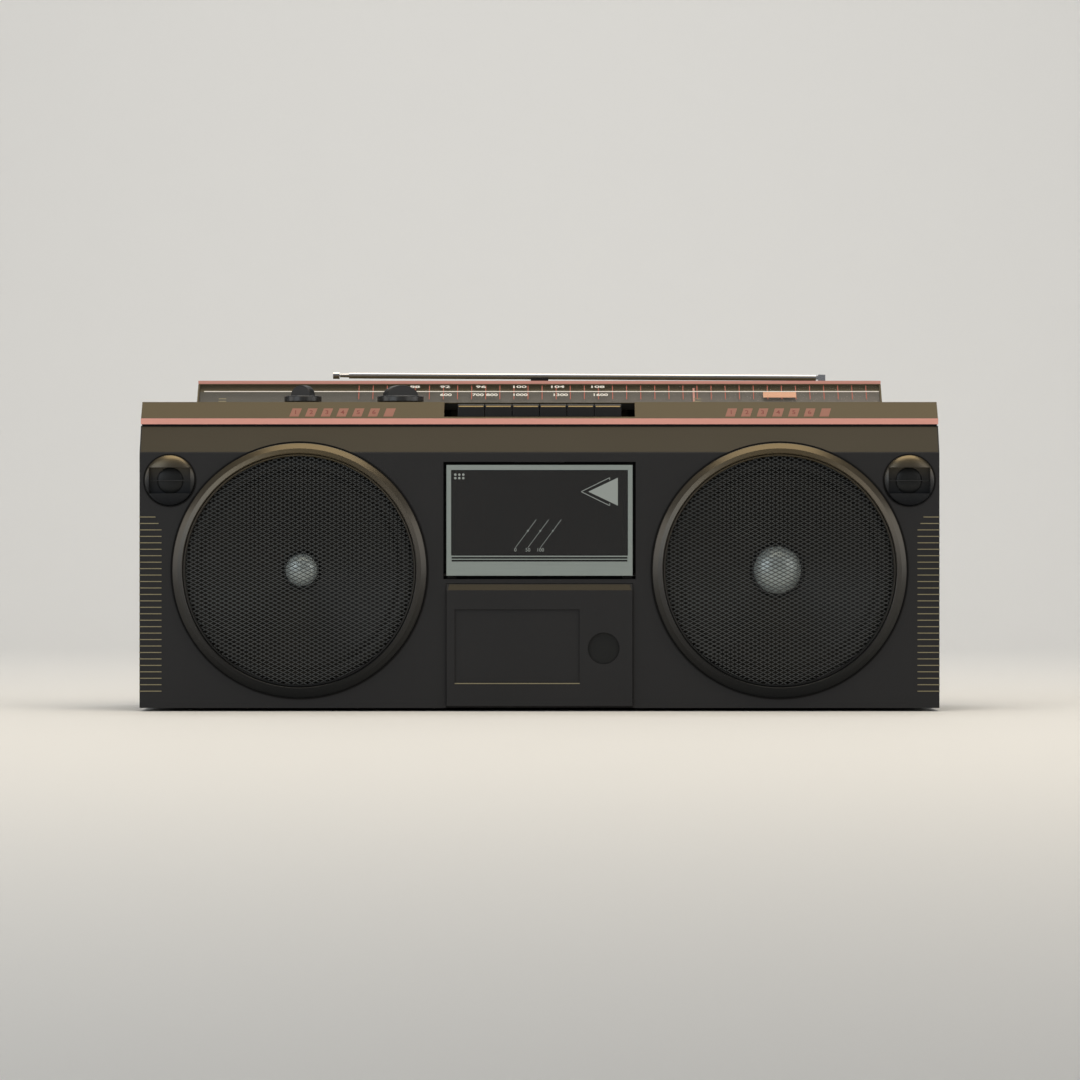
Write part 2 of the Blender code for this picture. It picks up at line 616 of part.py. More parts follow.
def tweeter(side, label):
    x, z = tweeter_place()
    x *= side
    steps = 5
    crown = [(TWEETER_RADIUS * math.sin(a), TWEETER_RISE * math.cos(a))
             for a in (math.pi / 2 * i / steps for i in range(steps + 1))]
    bezel = turned(crown + [(TWEETER_RADIUS, -TWEETER_DEPTH), (0, -TWEETER_DEPTH)], (x, 0, z), 24)
    floor = TWEETER_DEPTH / 2
    cut(bezel, box((x - SLOT_HALF_WIDTH, x + SLOT_HALF_WIDTH), (-TWEETER_RISE - BITE, floor),
                   (z - SLOT_HALF_HEIGHT, z + SLOT_HALF_HEIGHT)))
    part("tweeter_bezel_" + label, bezel, BLACK)
    dome = [(DOME_RADIUS * math.sin(a), DOME_RADIUS / 2 * math.cos(a))
            for a in (math.pi / 2 * i / steps for i in range(steps + 1))]
    part("tweeter_dome_" + label, turned(dome + [(0, 0)], (x, floor - GAP, z), 20), BLACK)


def antenna():
    axis = bpy.data.objects.new("antenna_axis", None)
    axis.location = (ANTENNA_X, FRONT_Y + ANTENNA_DEPTH, PIVOT_Z)
    axis.rotation_euler = (0, ANTENNA_TILT, 0)
    PARTS.objects.link(axis)
    half = CHEEK_HALF_WIDTH
    d = (ANTENNA_DEPTH - half - GAP, ANTENNA_DEPTH + half + GAP)
    x = (ANTENNA_X - half, ANTENNA_X + half)
    post = box(x, d, (HOUSING_TOP + GAP, PIVOT_Z + TUBE_RADIUS))
    join(post, rod("Z", (ANTENNA_X, ANTENNA_DEPTH, 0), half, HOUSING_TOP - 2 * WALL, PIVOT_Z))
    slot = half / 2
    eye = 2 * PIVOT_PIN_RADIUS
    cut(post, box((x[0] - BITE, x[1] + BITE), (ANTENNA_DEPTH - slot, ANTENNA_DEPTH + slot),
                  (PIVOT_Z - eye - GAP, PIVOT_Z + BITE)))
    place = (ANTENNA_X, 0, PIVOT_Z)
    join(post, rod("Y", place, PIVOT_PIN_RADIUS, ANTENNA_DEPTH - half, ANTENNA_DEPTH + half, 12))
    part("antenna_post", post, STEEL)
    start = 1.6 * half
    along = (0, -math.pi / 2, 0)
    centre = (0, -FRONT_Y, 0)
    bore = TUBE_RADIUS - TUBE_WALL
    tube = turned([(0, start + WALL), (bore, start + WALL), (bore, TUBE_LENGTH), (TUBE_RADIUS, TUBE_LENGTH),
                   (TUBE_RADIUS, start), (0, start)], centre, 12, turn=along)
    tang = slot - GAP
    join(tube, box((-start - GAP, 0), (-tang - FRONT_Y, tang - FRONT_Y), (-eye * 0.8, eye * 0.8)))
    join(tube, rod("Y", centre, eye, -tang - FRONT_Y, tang - FRONT_Y, 12))
    cut(tube, rod("Y", centre, PIVOT_PIN_RADIUS + GAP, -half - FRONT_Y, half - FRONT_Y, 12))
    outer = bore - GAP
    inner = outer - TUBE_WALL
    tail = start + WALL + GAP
    neck = TUBE_LENGTH + NECK_LENGTH
    middle = turned([(0, tail + WALL), (inner, tail + WALL), (inner, neck), (outer, neck), (outer, tail),
                     (0, tail)], centre, 12, turn=along)
    tip = neck + GAP
    core = inner - GAP
    whip = turned([(0, tip + TIP_LENGTH), (TIP_RADIUS, tip + TIP_LENGTH), (TIP_RADIUS, tip), (core, tip),
                   (core, tail + WALL + GAP), (0, tail + WALL + GAP)], centre, 12, turn=along)
    for name, item in (("antenna_tube", tube), ("antenna_middle", middle), ("antenna_rod", whip)):
        part(name, baked(item), STEEL).parent = axis


def cassette_door():
    half = DOOR_WIDTH / 2
    pivot = (0, FRONT_Y + HINGE_D, HINGE_Z)
    door = box((-half, half), (-DOOR_PROUD, DOOR_THICKNESS - DOOR_PROUD), (DOOR_Z, DOOR_TOP))
    glass_x = half - WINDOW_SIDE
    glass_z = (DOOR_Z + WINDOW_FOOT, DOOR_TOP - WINDOW_HEAD)
    cut(door, box((-glass_x, glass_x), (-BITE * 2, DOOR_THICKNESS + BITE), glass_z))
    ear = HINGE_RISE - GAP
    for side in (-1, 1):
        span = mirrored((half - EAR_WIDTH, half - GAP), side)
        join(door, box(span, (HINGE_D - ear / 2, HINGE_D + ear), (HINGE_Z - ear, HINGE_Z + ear)))
        pin = mirrored((half - EAR_WIDTH / 2, BAY_HALF + LUG_WIDTH - 2 * GAP), side)
        join(door, rod("X", (0, HINGE_D, HINGE_Z), PIN_RADIUS, *pin, 12))
    part("cassette_door", baked(door), SILVER, pivot)
    pane = (glass_z[0] + GAP, glass_z[1] - GAP)
    front = GAP - DOOR_PROUD
    window = box((GAP - glass_x, glass_x - GAP), (front, front + GLASS_THICKNESS), pane)
    part("cassette_window", window, GLASS, pivot)
    inner = CASSETTE_WIDTH / 2 + GAP
    holder = box((-inner - HOLDER_WALL, inner + HOLDER_WALL), (HOLDER_D, HOLDER_BACK), (HOLDER_Z, HOLDER_TOP))
    cut(holder, box((-inner, inner), (HOLDER_D - BITE, HOLDER_BACK - HOLDER_WALL),
                    (HOLDER_Z + HOLDER_WALL, HOLDER_TOP + BITE)))
    gate = HUB_SPACING / 2 + 4 * SPINDLE_RADIUS
    cut(holder, box((-gate, gate), (HOLDER_BACK - 2 * HOLDER_WALL, HOLDER_BACK + BITE),
                    (HOLDER_Z + EAR_WIDTH, HOLDER_TOP + BITE)))
    part("cassette_holder", baked(holder), BLACK, pivot)


def tape_deck():
    half = BAY_HALF + POST_SIZE
    back = PLATE_D + PLATE_THICKNESS
    capstan_z = HOLDER_TOP - CAPSTAN_DROP
    head_z = HOLDER_TOP + HEAD_CLEARANCE
    plate = box((-half, half), (PLATE_D, back), (DOOR_BAY_Z - 2 * POST_SIZE, head_z + 1.5 * HEAD_HEIGHT))
    cut(plate, rod("Y", (CAPSTAN_X, 0, capstan_z), CAPSTAN_RADIUS + GAP, PLATE_D - BITE, back + BITE, 12))
    for name, side in (("supply_spindle", -1), ("takeup_spindle", 1)):
        centre = (side * HUB_SPACING / 2, PLATE_D, SPINDLE_Z)
        cut(plate, rod("Y", centre, SPINDLE_RADIUS + GAP, PLATE_D - BITE, back + BITE, 12))
        flange = -PLATE_THICKNESS - GAP
        profile = [(0, SPINDLE_REACH), (SPINDLE_RADIUS, SPINDLE_REACH - GAP), (SPINDLE_RADIUS, flange),
                   (2 * SPINDLE_RADIUS, flange), (2 * SPINDLE_RADIUS, flange - WALL), (0, flange - WALL)]
        part(name, turned(profile, centre, 12), BLACK)
    part("deck_plate", plate, STEEL)
    flange = -PLATE_THICKNESS - GAP
    profile = [(0, SPINDLE_REACH), (CAPSTAN_RADIUS, SPINDLE_REACH), (CAPSTAN_RADIUS, flange),
               (FLYWHEEL_RADIUS, flange), (FLYWHEEL_RADIUS, flange - FLYWHEEL_THICKNESS),
               (0, flange - FLYWHEEL_THICKNESS)]
    part("capstan_flywheel", turned(profile, (CAPSTAN_X, PLATE_D, capstan_z), 24), STEEL)
    part("head_block", box((-HEAD_WIDTH / 2, HEAD_WIDTH / 2), (HOLDER_D + WALL, PLATE_D - GAP),
                           (head_z, head_z + HEAD_HEIGHT)), STEEL)


def preset_door():
    half = DOOR_WIDTH / 2
    back = FLAP_THICKNESS - FLAP_PROUD
    flap = prism([(-FLAP_PROUD, FLAP_Z), (-FLAP_PROUD, FLAP_TOP - 2 * FLAP_PROUD), (0, FLAP_TOP),
                  (back, FLAP_TOP), (back, FLAP_Z)], -half, half)
    ear = FLAP_HINGE_D - PIN_RADIUS / 2
    for side in (-1, 1):
        span = mirrored((half - EAR_WIDTH, half - GAP), side)
        join(flap, box(span, (0, FLAP_HINGE_D + ear), (FLAP_Z + GAP, FLAP_HINGE_Z + ear)))
        pin = mirrored((half - EAR_WIDTH / 2, half + LUG_WIDTH - GAP), side)
        join(flap, rod("X", (0, FLAP_HINGE_D, FLAP_HINGE_Z), PIN_RADIUS / 2, *pin, 12))
    part("preset_door", baked(flap), CHARCOAL, (0, FRONT_Y + FLAP_HINGE_D, FLAP_HINGE_Z))


def rear_pieces():
    bay = BAY_WIDTH / 2
    roof = BAY_Z + BAY_HEIGHT + WALL + GAP
    part("circuit_board", box((-bay, bay), (CASE_DEPTH - BAY_DEPTH, CASE_DEPTH - WALL - GAP),
                              (roof, roof + BOARD_THICKNESS)), BOARD)
    outer = HANDLE_HALF_WIDTH
    inner = outer - HANDLE_ARM
    top = HANDLE_LUG / 2
    low = -HANDLE_DROP
    grip = low + HANDLE_ARM
    points = [(-outer, top), (-inner, top), (-inner, grip), (inner, grip), (inner, top), (outer, top),
              (outer, low), (-outer, low)]
    mesh = outline_mesh(points, HANDLE_THICKNESS)
    mesh.transform(Matrix.Rotation(math.pi / 2, 4, "X"))
    pivot = (0, FRONT_Y + HANDLE_PIVOT_D, HANDLE_PIVOT_Z)
    handle = tool(mesh, pivot)
    cut(handle, rod("X", (0, HANDLE_PIVOT_D, HANDLE_PIVOT_Z), HANDLE_PIN_RADIUS + GAP, -outer - BITE,
                    outer + BITE))
    part("carry_handle", baked(handle), CHARCOAL, pivot)
    for side, label in ((-1, "left"), (1, "right")):
        x = side * WOOFER_X
        pad = box((x - FOOT_WIDTH / 2, x + FOOT_WIDTH / 2), (FOOT_INSET, CASE_DEPTH - FOOT_INSET),
                  (0, FOOT_HEIGHT - GAP))
        part("foot_" + label, pad, BLACK)


def main():
    front_cabinet()
    rear_cabinet()
    battery_door()
    top_cover()
    keys()
    dial()
    knobs()
    for side, label in ((-1, "left"), (1, "right")):
        woofer(side, label)
        tweeter(side, label)
    antenna()
    cassette_door()
    tape_deck()
    preset_door()
    rear_pieces()


main()
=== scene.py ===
"""Looks of a portable stereo radio cassette player: finishes, fine pieces, print and stage."""

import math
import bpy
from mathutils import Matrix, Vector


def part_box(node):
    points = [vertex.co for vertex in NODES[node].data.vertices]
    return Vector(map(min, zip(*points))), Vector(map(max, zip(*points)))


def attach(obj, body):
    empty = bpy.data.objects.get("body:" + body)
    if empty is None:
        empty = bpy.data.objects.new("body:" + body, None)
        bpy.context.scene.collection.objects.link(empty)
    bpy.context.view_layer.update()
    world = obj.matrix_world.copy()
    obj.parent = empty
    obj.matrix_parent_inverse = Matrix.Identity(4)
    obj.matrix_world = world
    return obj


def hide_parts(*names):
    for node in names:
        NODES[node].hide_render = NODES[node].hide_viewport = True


bl_info = {
    "name": "Boombox looks",
    "version": (1, 0, 0),
    "blender": (4, 5, 0),
    "location": "View3D > Sidebar > Boombox",
    "description": "Dresses the packed player with fine meshes, finishes and a stage",
    "category": "Object",
}

import bmesh
import bpy
from mathutils import Matrix, Vector

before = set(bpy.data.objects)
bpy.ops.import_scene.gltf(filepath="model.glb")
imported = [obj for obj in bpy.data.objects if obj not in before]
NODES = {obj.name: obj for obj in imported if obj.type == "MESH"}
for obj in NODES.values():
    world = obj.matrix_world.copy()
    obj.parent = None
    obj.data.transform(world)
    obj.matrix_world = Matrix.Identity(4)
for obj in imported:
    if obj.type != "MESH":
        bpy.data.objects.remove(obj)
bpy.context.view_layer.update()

# Places read from the frame
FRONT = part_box("front_cabinet")[0][1]
HALF_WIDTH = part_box("front_cabinet")[1][0]
SHOULDER_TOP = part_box("front_cabinet")[1][2]
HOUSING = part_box("dial_housing")
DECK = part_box("top_cover")[1][2]
SIDES = {"left": -1, "right": 1}
KEYS = ("record", "play", "rewind", "forward", "stop", "pause")
KEY_NODES = tuple(name + "_key" for name in KEYS)

# The case's depth, and the slanted faces: depth and height of the lower edge, then run and rise
CASE_DEPTH = 0.120
REAR = FRONT + CASE_DEPTH
SHOULDER_RUN = 0.011
SHOULDER_RISE = 0.0166
BAND_FOOT = (0.0113, 0.1760)
BAND_RUN = 0.0105
BAND_RISE = 0.0102
BAND_SLOPE = math.atan2(BAND_RISE, BAND_RUN)
DIAL_FOOT = (0.0543, 0.1865)
DIAL_RUN = 0.0158
DIAL_RISE = 0.0140
DIAL_SLOPE = math.atan2(DIAL_RISE, DIAL_RUN)
DIAL_LENGTH = math.hypot(DIAL_RUN, DIAL_RISE)

# The scale lies this far under the face of the dial window, the print just under its back
DIAL_FLOOR = -0.0029
DIAL_PRINT = -0.0007
# How much higher up the slope a deep spot sits than the spot of the face it is seen through
FLOOR_LEAD = -DIAL_FLOOR / math.tan(DIAL_SLOPE)
DIAL_LEAD = -DIAL_PRINT / math.tan(DIAL_SLOPE)
# How far up the slope the white rule across the dial lies
DIAL_RULE = 0.0109

# The silver frame of the cassette door: half its width, and how far it reaches below the window
DOOR_HALF_WIDTH = 0.05585
DOOR_CHIN = 0.0123

# Thickness of print, and how far a cutter stands out of the face it cuts
FILM = 0.00006
BITE = 0.002


def colour(red, green, blue):
    """An sRGB colour of 0 to 255 as linear light."""
    parts = [value / 255 for value in (red, green, blue)]
    return (*[v / 12.92 if v <= 0.04045 else ((v + 0.055) / 1.055) ** 2.4 for v in parts], 1)


def length_property(label, text, size):
    return bpy.props.FloatProperty(name=label, description=text, default=size, unit="LENGTH", precision=5)


def colour_property(label, text, *parts):
    return bpy.props.FloatVectorProperty(
        name=label, description=text, default=colour(*parts), size=4, subtype="COLOR")


class BoomboxSizes(bpy.types.PropertyGroup):
    """Sizes of the fine pieces"""
    edge: length_property("Edge", "Rounding of moulded edges", 0.0006)
    grip_edge: length_property("Grip edge", "Rounding of the carrying handle", 0.002)
    diamond_width: length_property("Diamond width", "Width of one opening of the speaker mesh", 0.0049)
    diamond_height: length_property("Diamond height", "Height of one opening of the speaker mesh", 0.00245)
    strand: length_property("Strand", "Width of one strand of the speaker mesh", 0.00044)
    ribs: bpy.props.IntProperty(name="Ribs", description="Grip ribs on each end of the case", default=28)
    rib_pitch: length_property("Rib pitch", "Height from rib to rib", 0.00387)
    rib_top: length_property("Rib top", "Height of the highest rib", 0.1166)
    dial_line_step: length_property("Dial line step", "Width from one line of the dial to the next", 0.00863)
    camera_distance: length_property("Camera distance", "From the front face to the camera", 3.0)
    picture_width: length_property("Picture width", "Width of the picture at the front face", 0.648)


class BoomboxColours(bpy.types.PropertyGroup):
    """Colours of the main finishes"""
    case: colour_property("Case", "Moulded case", 37, 37, 38)
    # Band and shoulder: brown on faces that slope up is painted reflection of warm light from above on
    # charcoal plastic.
    band: colour_property("Band", "Top cover and dial housing", 76, 66, 43)
    shoulder: colour_property("Shoulder", "Slanted strip above the speakers", 46, 41, 29)
    trim: colour_property("Trim", "Long stripes of the front and the dial", 211, 152, 140)
    mark: colour_property("Mark", "Numbered marks of the band", 138, 93, 78)
    door: colour_property("Door", "Frame of the cassette door", 146, 155, 152)
    ink: colour_property("Ink", "Print on the cassette window", 140, 147, 145)
    # Pale tan of the rib edges and the label's lower edge: painted highlight of light from above.
    rib: colour_property("Rib", "Edges of the end ribs and the label", 138, 130, 104)
    # Key edges: a painted highlight where light from above catches the keys' top edges.
    gold: colour_property("Gold", "Bright edges of the keys", 196, 170, 118)


def add_node(tree, kind, inputs, settings):
    """A new node with its settings made and its inputs set or linked."""
    item = tree.nodes.new(kind)
    for key, value in settings.items():
        setattr(item, key, value)
    for key, value in inputs.items():
        source = getattr(value, "socket", value)
        if isinstance(source, bpy.types.NodeSocket):
            tree.links.new(source, item.inputs[key])
        else:
            item.inputs[key].default_value = source
    return item


class Sock:
    """A node socket that takes part in sums, so shader maths reads as a formula."""

    def __init__(self, tree, socket):
        self.tree = tree
        self.socket = socket

    def node(self, kind, inputs, output=0, **settings):
        return Sock(self.tree, add_node(self.tree, kind, inputs, settings).outputs[output])

    def math(self, operation, first, second):
        return self.node("ShaderNodeMath", {0: first, 1: second}, operation=operation)

    def __add__(self, other):
        return self.math("ADD", self, other)

    def __radd__(self, other):
        return self.math("ADD", other, self)

    def __sub__(self, other):
        return self.math("SUBTRACT", self, other)

    def __rsub__(self, other):
        return self.math("SUBTRACT", other, self)

    def __mul__(self, other):
        return self.math("MULTIPLY", self, other)

    def __rmul__(self, other):
        return self.math("MULTIPLY", other, self)

    def __abs__(self):
        return self.math("ABSOLUTE", self, 0.0)

    def above(self, limit):
        return self.math("GREATER_THAN", self, limit)

    def mix(self, first, second):
        """The first colour at 0 and the second at 1."""
        return self.node("ShaderNodeMix", {0: self, 6: first, 7: second}, 2, data_type="RGBA")

    def feed(self, shader, name):
        self.tree.links.new(self.socket, shader.inputs[name])


def coordinates(material):
    """Object coordinates, whole and as three numbers."""
    tree = material.node_tree
    whole = Sock(tree, tree.nodes.new("ShaderNodeTexCoord").outputs["Object"])
    split = tree.nodes.new("ShaderNodeSeparateXYZ")
    tree.links.new(whole.socket, split.inputs[0])
    return whole, [Sock(tree, output) for output in split.outputs]


def shader_of(material):
    return material.node_tree.nodes["Principled BSDF"]


def shade(base, share):
    """A colour made darker or paler by a share."""
    return (*[min(1, part * share) for part in base[:3]], 1)


def finish(name, base, rough, metallic=0.0, specular=0.25, grain=2500.0, depth=0.00004, vary=0.16,
           stretch=(1, 1, 1), painted_glow=0.0):
    """A moulded or metal finish: fine grain in the surface and slow changes in tone and gloss."""
    material = bpy.data.materials.new(name)
    material.use_nodes = True
    shader = shader_of(material)
    whole, _ = coordinates(material)
    placed = whole.node("ShaderNodeMapping", {"Vector": whole, "Scale": stretch})
    fine = whole.node("ShaderNodeTexNoise", {"Vector": placed, "Scale": grain, "Detail": 3.0})
    slow = whole.node("ShaderNodeTexNoise", {"Vector": placed, "Scale": 14.0, "Detail": 4.0})
    tone = (slow * 0.6 + fine * 0.4).mix(shade(base, 1 - vary), shade(base, 1 + vary))
    tone.feed(shader, "Base Color")
    tone.feed(shader, "Emission Color")
    (rough * 0.85 + slow * (rough * 0.3)).feed(shader, "Roughness")
    bump = whole.node("ShaderNodeBump", {"Height": fine, "Strength": 0.25, "Distance": depth})
    bump.feed(shader, "Normal")
    shader.inputs["Metallic"].default_value = metallic
    shader.inputs["Specular IOR Level"].default_value = specular
    # A painted glow above nought is painted light: the surface shines in its own tone though it is no lamp.
    shader.inputs["Emission Strength"].default_value = painted_glow
    return material


def clear(name, base, alpha, specular=0.3):
    """Clear or smoked plastic, seen through by its alpha."""
    material = finish(name, base, 0.12, specular=specular, grain=900.0, depth=0.000001)
    shader_of(material).inputs["Alpha"].default_value = alpha
    return material


def graded(name, node, foot, body, painted_highlight, metallic):
    """A finish going dark at a node's foot, through grey, to golden at its top: painted shade and painted
    highlight.
    """
    material = finish(name, colour(*body), 0.3, metallic)
    low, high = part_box(node)
    _, (_, _, up) = coordinates(material)
    share = (up - low[2]) * (1 / (high[2] - low[2]))
    tone = share.mix(colour(*foot), colour(*body))
    (share * share * share * share).mix(tone, colour(*painted_highlight)).feed(shader_of(material), "Base Color")
    return material


def dial_paint():
    """The ground of the scale: olive over grey, the grey paler to the right, with a faint glow of painted
    light.
    """
    material = finish("dial_paint", colour(80, 72, 60), 0.5, painted_glow=0.2)
    _, (across, _, up) = coordinates(material)
    middle = DIAL_FOOT[1] + DIAL_RULE * math.sin(DIAL_SLOPE)
    share = (across + HALF_WIDTH) * (0.5 / HALF_WIDTH)
    lower = share.mix(colour(76, 75, 71), colour(100, 96, 91))
    ground = up.above(middle).mix(lower, colour(84, 75, 58))
    ground.feed(shader_of(material), "Base Color")
    ground.feed(shader_of(material), "Emission Color")
    return material


def door_paint(base):
    """Brushed silver, with black below the frame and beside it, where the hinge ears are."""
    material = finish("door_silver", base, 0.34, 0.5, grain=1800.0, stretch=(0.03, 1, 1))
    shader = shader_of(material)
    brushed = Sock(material.node_tree, shader.inputs["Base Color"].links[0].from_socket)
    _, (across, _, up) = coordinates(material)
    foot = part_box("cassette_window")[0][2] - DOOR_CHIN
    frame_share = up.above(foot) * (1 - abs(across).above(DOOR_HALF_WIDTH))
    frame_share.mix(colour(14, 14, 14), brushed).feed(shader, "Base Color")
    return material


# Every finish by its name, filled when the finishes are made
PAINT = {}


def make_finishes():
    tints = colours()
    PAINT.update({
        "charcoal": finish("charcoal", tints.case, 0.5, specular=0.16),
        # Bronze and shoulder tones: painted reflection of the warm top light.
        "bronze": finish("bronze", tints.band, 0.42, 0.15),
        "shoulder": finish("shoulder", tints.shoulder, 0.42, 0.15),
        "salmon": finish("salmon", tints.trim, 0.4, vary=0.06),
        "mark": finish("mark", tints.mark, 0.5, vary=0.06),
        # Dial lines glow faintly: painted light that lifts the housing's shadow.
        "line": finish("line", colour(176, 98, 82), 0.5, vary=0.05, painted_glow=0.1),
        "digit": finish("digit", colour(112, 52, 44), 0.5, vary=0.05),
        # Painted highlight on the rib edges and the label's lower edge.
        "rib": finish("rib", tints.rib, 0.4, 0.3),
        # Painted highlight of the key edges.
        "gold": finish("gold", tints.gold, 0.35, 0.3),
        "black": finish("black", colour(24, 24, 25), 0.34, specular=0.3),
        # Painted shade of the key well.
        "pit": finish("pit", colour(24, 24, 22), 0.8, specular=0.05),
        # Rings and tweeter bezels: painted shade at the foot and a painted highlight at the top.
        "ring": graded("ring", "woofer_ring_left", (27, 29, 31), (82, 80, 77), (90, 80, 60), 0.75),
        "gloss": finish("gloss", colour(36, 36, 36), 0.26, specular=0.5),
        "tweeter": graded("tweeter", "tweeter_bezel_left", (20, 22, 26), (62, 64, 66), (110, 98, 74), 0.8),
        "tweeter_disc": finish("tweeter_disc", colour(27, 28, 28), 0.4, 0.2),
        "silver": door_paint(tints.door),
        "ink": finish("ink", tints.ink, 0.5, vary=0.04),
        "chrome": finish("chrome", colour(206, 206, 208), 0.14, 1.0, 0.5, 700.0, 0.000002, 0.05),
        "steel": finish("steel", colour(150, 150, 152), 0.3, 1.0, stretch=(0.05, 1, 1)),
        "smoked": clear("smoked", colour(42, 42, 42), 0.84),
        "window": clear("window", colour(90, 84, 70), 0.06),
        "mesh": finish("mesh", colour(72, 74, 74), 0.34, 0.6, 0.5),
        "cone": finish("cone", colour(36, 35, 33), 0.4, 0.5, grain=1200.0, depth=0.0001),
        "cap": finish("cap", colour(190, 200, 198), 0.3, 0.35, 0.5),
        # The white print glows faintly: painted light that lifts the housing's shadow.
        "white": finish("white", colour(228, 225, 216), 0.5, vary=0.03, painted_glow=0.12),
        "peach": finish("peach", colour(222, 170, 140), 0.5, vary=0.05),
        "rubber": finish("rubber", colour(18, 18, 18), 0.8, specular=0.1),
        "board": finish("board", colour(38, 90, 52), 0.55),
        "dial": dial_paint(),
    })


def sizes():
    return bpy.context.scene.boombox_sizes


def colours():
    return bpy.context.scene.boombox_colours


def settle(item, body, paint, nodes=(), smooth=None):
    """Give a piece its finish and tie it to the body that carries it."""
    item.data.materials.clear()
    item.data.materials.append(PAINT[paint])
    if smooth is not None:
        item.data.shade_smooth()
        item.data.set_sharp_from_angle(angle=math.radians(smooth))
    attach(item, body)
    if nodes:
        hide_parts(*nodes)
    return item


def new_object(name, mesh):
    item = bpy.data.objects.new(name, mesh)
    bpy.context.scene.collection.objects.link(item)
    return item


def as_object(name, form):
    """A new object from a bmesh, which is used up."""
    mesh = bpy.data.meshes.new(name)
    form.to_mesh(mesh)
    form.free()
    return new_object(name, mesh)


def from_form(name, form):
    """A new object from a bmesh, with its faces pointing outwards."""
    bmesh.ops.recalc_face_normals(form, faces=form.faces)
    return as_object(name, form)


def plain(item):
    """Work an object's modifiers into a plain mesh and drop them."""
    view = bpy.context.evaluated_depsgraph_get()
    mesh = bpy.data.meshes.new_from_object(item.evaluated_get(view))
    if item.type != "MESH":
        name = item.name
        bpy.data.objects.remove(item)
        return new_object(name, mesh)
    item.modifiers.clear()
    item.data = mesh
    return item


def round_edges(item, width, segments=2, angle=35):
    """Round the edges that are sharper than an angle in degrees."""
    step = item.modifiers.new("edges", "BEVEL")
    step.width = width
    step.segments = segments
    step.limit_method = "ANGLE"
    step.angle_limit = math.radians(angle)
    return item


def even_normals(item):
    item.modifiers.new("normals", "WEIGHTED_NORMAL").keep_sharp = True
    return item


def block(name, low, high, matrix=Matrix()):
    """A box between two corners, then placed."""
    form = bmesh.new()
    bmesh.ops.create_cube(form, size=1)
    bmesh.ops.scale(form, vec=[b - a for a, b in zip(low, high)], verts=form.verts)
    bmesh.ops.translate(form, vec=[(a + b) / 2 for a, b in zip(low, high)], verts=form.verts)
    bmesh.ops.transform(form, matrix=matrix, verts=form.verts)
    return from_form(name, form)


def plate(name, points, thickness, matrix):
    """A flat outline of (x, y) points, thickened upwards from its plane, then placed."""
    form = bmesh.new()
    low = [form.verts.new((x, y, 0)) for x, y in points]
    high = [form.verts.new((x, y, thickness)) for x, y in points]
    form.faces.new(low)
    form.faces.new(high)
    for index in range(len(points)):
        form.faces.new((low[index - 1], low[index], high[index], high[index - 1]))
    bmesh.ops.transform(form, matrix=matrix, verts=form.verts)
    return from_form(name, form)


def disc(name, radius, thickness, matrix, segments=24):
    """A round plate, thickened upwards from its plane, then placed."""
    angles = [math.tau * index / segments for index in range(segments)]
    return plate(name, [(radius * math.cos(a), radius * math.sin(a)) for a in angles], thickness, matrix)


def turned(name, profile, centre, segments=128, closed=False):
    """A profile of (radius, height towards the viewer) turned about an axis that faces the viewer."""
    form = bmesh.new()
    verts = [form.verts.new((radius, 0, height)) for radius, height in profile]
    for first, second in zip(verts, verts[1:]):
        form.edges.new((first, second))
    if closed:
        form.edges.new((verts[-1], verts[0]))
    item = from_form(name, form)
    step = item.modifiers.new("turn", "SCREW")
    step.steps = segments
    step.render_steps = segments
    step.use_merge_vertices = True
    step.merge_threshold = 1e-5
    plain(item)
    form = bmesh.new()
    form.from_mesh(item.data)
    bpy.data.objects.remove(item)
    bmesh.ops.remove_doubles(form, verts=form.verts, dist=1e-6)
    bmesh.ops.transform(form, matrix=upright(*centre), verts=form.verts)
    return from_form(name, form)


def dome(radius, height, base=0.0, steps=18):
    """The profile of a low dome, from its crown out to its rim."""
    angles = [math.pi / 2 * index / steps for index in range(steps + 1)]
    return [(radius * math.sin(a), base + height * math.cos(a)) for a in angles]


def round_front(node):
    """A round frame node's centre on the front face, its radius, and its front and back heights."""
    low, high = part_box(node)
    centre = ((low[0] + high[0]) / 2, FRONT, (low[2] + high[2]) / 2)
    return centre, (high[0] - low[0]) / 2, FRONT - low[1], FRONT - high[1]


def node_copy(name, node):
    """A copy of a frame node's mesh with its loose triangles merged into clean faces."""
    form = bmesh.new()
    form.from_mesh(NODES[node].data)
    bmesh.ops.remove_doubles(form, verts=form.verts, dist=1e-6)
    bmesh.ops.dissolve_limit(form, angle_limit=math.radians(0.5), verts=form.verts, edges=form.edges)
    return as_object(name, form)


def carve(item, *cutters):
    """Cut pieces out of another one. The cutters are used up."""
    for cutter in cutters:
        step = item.modifiers.new("carve", "BOOLEAN")
        step.object = cutter
        step.operation = "DIFFERENCE"
    plain(item)
    for cutter in cutters:
        bpy.data.objects.remove(cutter)
    return item


def merged(name, items):
    """Join small pieces into one mesh."""
    form = bmesh.new()
    for item in items:
        form.from_mesh(item.data)
        bpy.data.objects.remove(item)
    return from_form(name, form)


def upright(x, y, z):
    """Places a flat outline on a vertical face that looks at the viewer."""
    return Matrix.Translation((x, y, z)) @ Matrix.Rotation(math.pi / 2, 4, "X")


def slanted(foot, slope, x, up, out):
    """Places a flat outline on a slanted face, some way across, up and out of it."""
    base = Matrix.Translation((0, FRONT + foot[0], foot[1])) @ Matrix.Rotation(slope, 4, "X")
    return base @ Matrix.Translation((x, up, out))


def on_dial(x=0.0, up=0.0, out=0.0):
    return slanted(DIAL_FOOT, DIAL_SLOPE, x, up, out)


